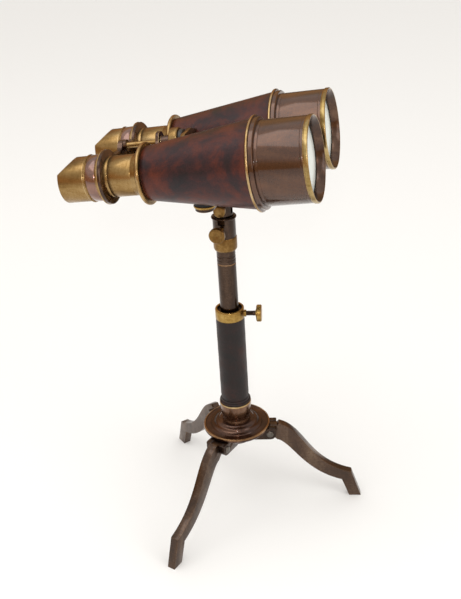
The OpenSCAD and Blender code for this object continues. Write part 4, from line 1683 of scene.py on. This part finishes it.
@dataclass
class Studio:
    """Floor, world, lights and camera.

    Attributes:
        eye: The camera's place, in metres.
        yaw: Its heading from +Y, in degrees.
        pitch: How far it looks down, in degrees.
        roll: Its turn about its own line of sight, in degrees.
        lens: Its focal length, in millimetres.
    """

    eye: tuple[float, float, float] = (0.1625, -0.5553, 0.4789)
    yaw: float = -16.2
    pitch: float = 27.1
    roll: float = -3.61
    lens: float = 52.56

    def camera(self) -> None:
        """The camera at the viewing angle."""
        yaw, pitch, roll = (math.radians(a) for a in (self.yaw, self.pitch, self.roll))
        forward = Vector(
            (math.sin(yaw) * math.cos(pitch), math.cos(yaw) * math.cos(pitch), -math.sin(pitch))
        )
        right = Vector((math.cos(yaw), -math.sin(yaw), 0))
        up = right.cross(forward)
        right, up = (
            math.cos(roll) * right + math.sin(roll) * up,
            -math.sin(roll) * right + math.cos(roll) * up,
        )
        data = bpy.data.cameras.new("camera")
        data.lens, data.sensor_width = self.lens, 36.0
        camera = bpy.data.objects.new("camera", data)
        bpy.context.scene.collection.objects.link(camera)
        turn_matrix = Matrix((right, up, -forward)).transposed().to_4x4()
        camera.matrix_world = Matrix.Translation(self.eye) @ turn_matrix
        bpy.context.scene.camera = camera

    def floor(self) -> None:
        """A wide pale floor."""
        deselect()
        bpy.ops.mesh.primitive_circle_add(vertices=96, radius=6, fill_type="NGON")
        piece = named("floor")
        mat = bpy.data.materials.new("pale_floor")
        mat.use_nodes = True
        shader = mat.node_tree.nodes["Principled BSDF"]
        shader.inputs["Base Color"].default_value = linear("#F4F2EF")
        shader.inputs["Roughness"].default_value = 0.85
        piece.data.materials.append(mat)

    def world(self) -> None:
        """A room with a pale ceiling and warm walls in reflections, and plain pale light elsewhere."""
        world = bpy.data.worlds.new("studio")
        bpy.context.scene.world = world
        world.use_nodes = True
        t = world.node_tree
        direction = add(t, "TexCoord").outputs["Generated"]
        facing = add(t, "VectorMath", {"operation": "DOT_PRODUCT", 1: (0.05, -0.225, 0.974)}, i0=direction)
        share = add(t, "MapRange", {"From Min": -1.0, "From Max": 1.0}, Value=facing.outputs["Value"])
        room = ramp(
            t, share.outputs[0],
            (
                (0.0, "#7A7068"), (0.42, "#6E5844"), (0.57, "#C89868"), (0.7, "#D8B48C"),
                (0.79, "#F0EEEC"), (1.0, "#FFFFFF"),
            ),
        )
        lit = add(t, "Background", {"Strength": 1.0}, Color=room.outputs[0])
        pale = add(t, "Background", {"Color": linear("#F6F5F3"), "Strength": 1.0})
        reflected = add(t, "LightPath").outputs["Is Glossy Ray"]
        mix = add(t, "MixShader", i0=reflected, i1=pale.outputs[0], i2=lit.outputs[0])
        t.links.new(mix.outputs[0], t.nodes["World Output"].inputs["Surface"])

    def light(self, name: str, at: Sequence[float], size: Point, power: float) -> None:
        """An area light aimed at the object's middle.

        Args:
            name: Light name.
            at: Position in metres.
            size: Width and height in metres.
            power: Watts.
        """
        data = bpy.data.lights.new(name, "AREA")
        data.shape, data.size, data.size_y, data.energy = "RECTANGLE", size[0], size[1], power
        lamp = bpy.data.objects.new(name, data)
        bpy.context.scene.collection.objects.link(lamp)
        aim = Vector((0, 0, 0.2)) - Vector(at)
        lamp.matrix_world = Matrix.Translation(at) @ aim.to_track_quat("-Z", "Y").to_matrix().to_4x4()

    def build(self) -> None:
        """Builds the studio."""
        self.camera()
        self.floor()
        self.world()
        self.light("overhead", (-0.3, -0.4, 1.9), (1.6, 1.2), 9)
        self.light("near_eye", (0.2, -0.75, 0.62), (0.05, 0.05), 1.2)
        self.light("side", (1.5, -0.6, 0.9), (0.7, 1.0), 4)
        bpy.context.scene.view_settings.view_transform = "Standard"


def main() -> None:
    """Builds every sub-assembly in order."""
    logging.basicConfig(level=logging.INFO, format="%(message)s")
    Studio().build()
    barrels = Barrels()
    barrels.build()
    Eyepieces().build()
    Focusing().build(barrels)
    Cradle().build()
    Head().build()
    Column().build()
    Base().build()
    dress_kept_nodes()


if __name__ == "__main__":
    main()
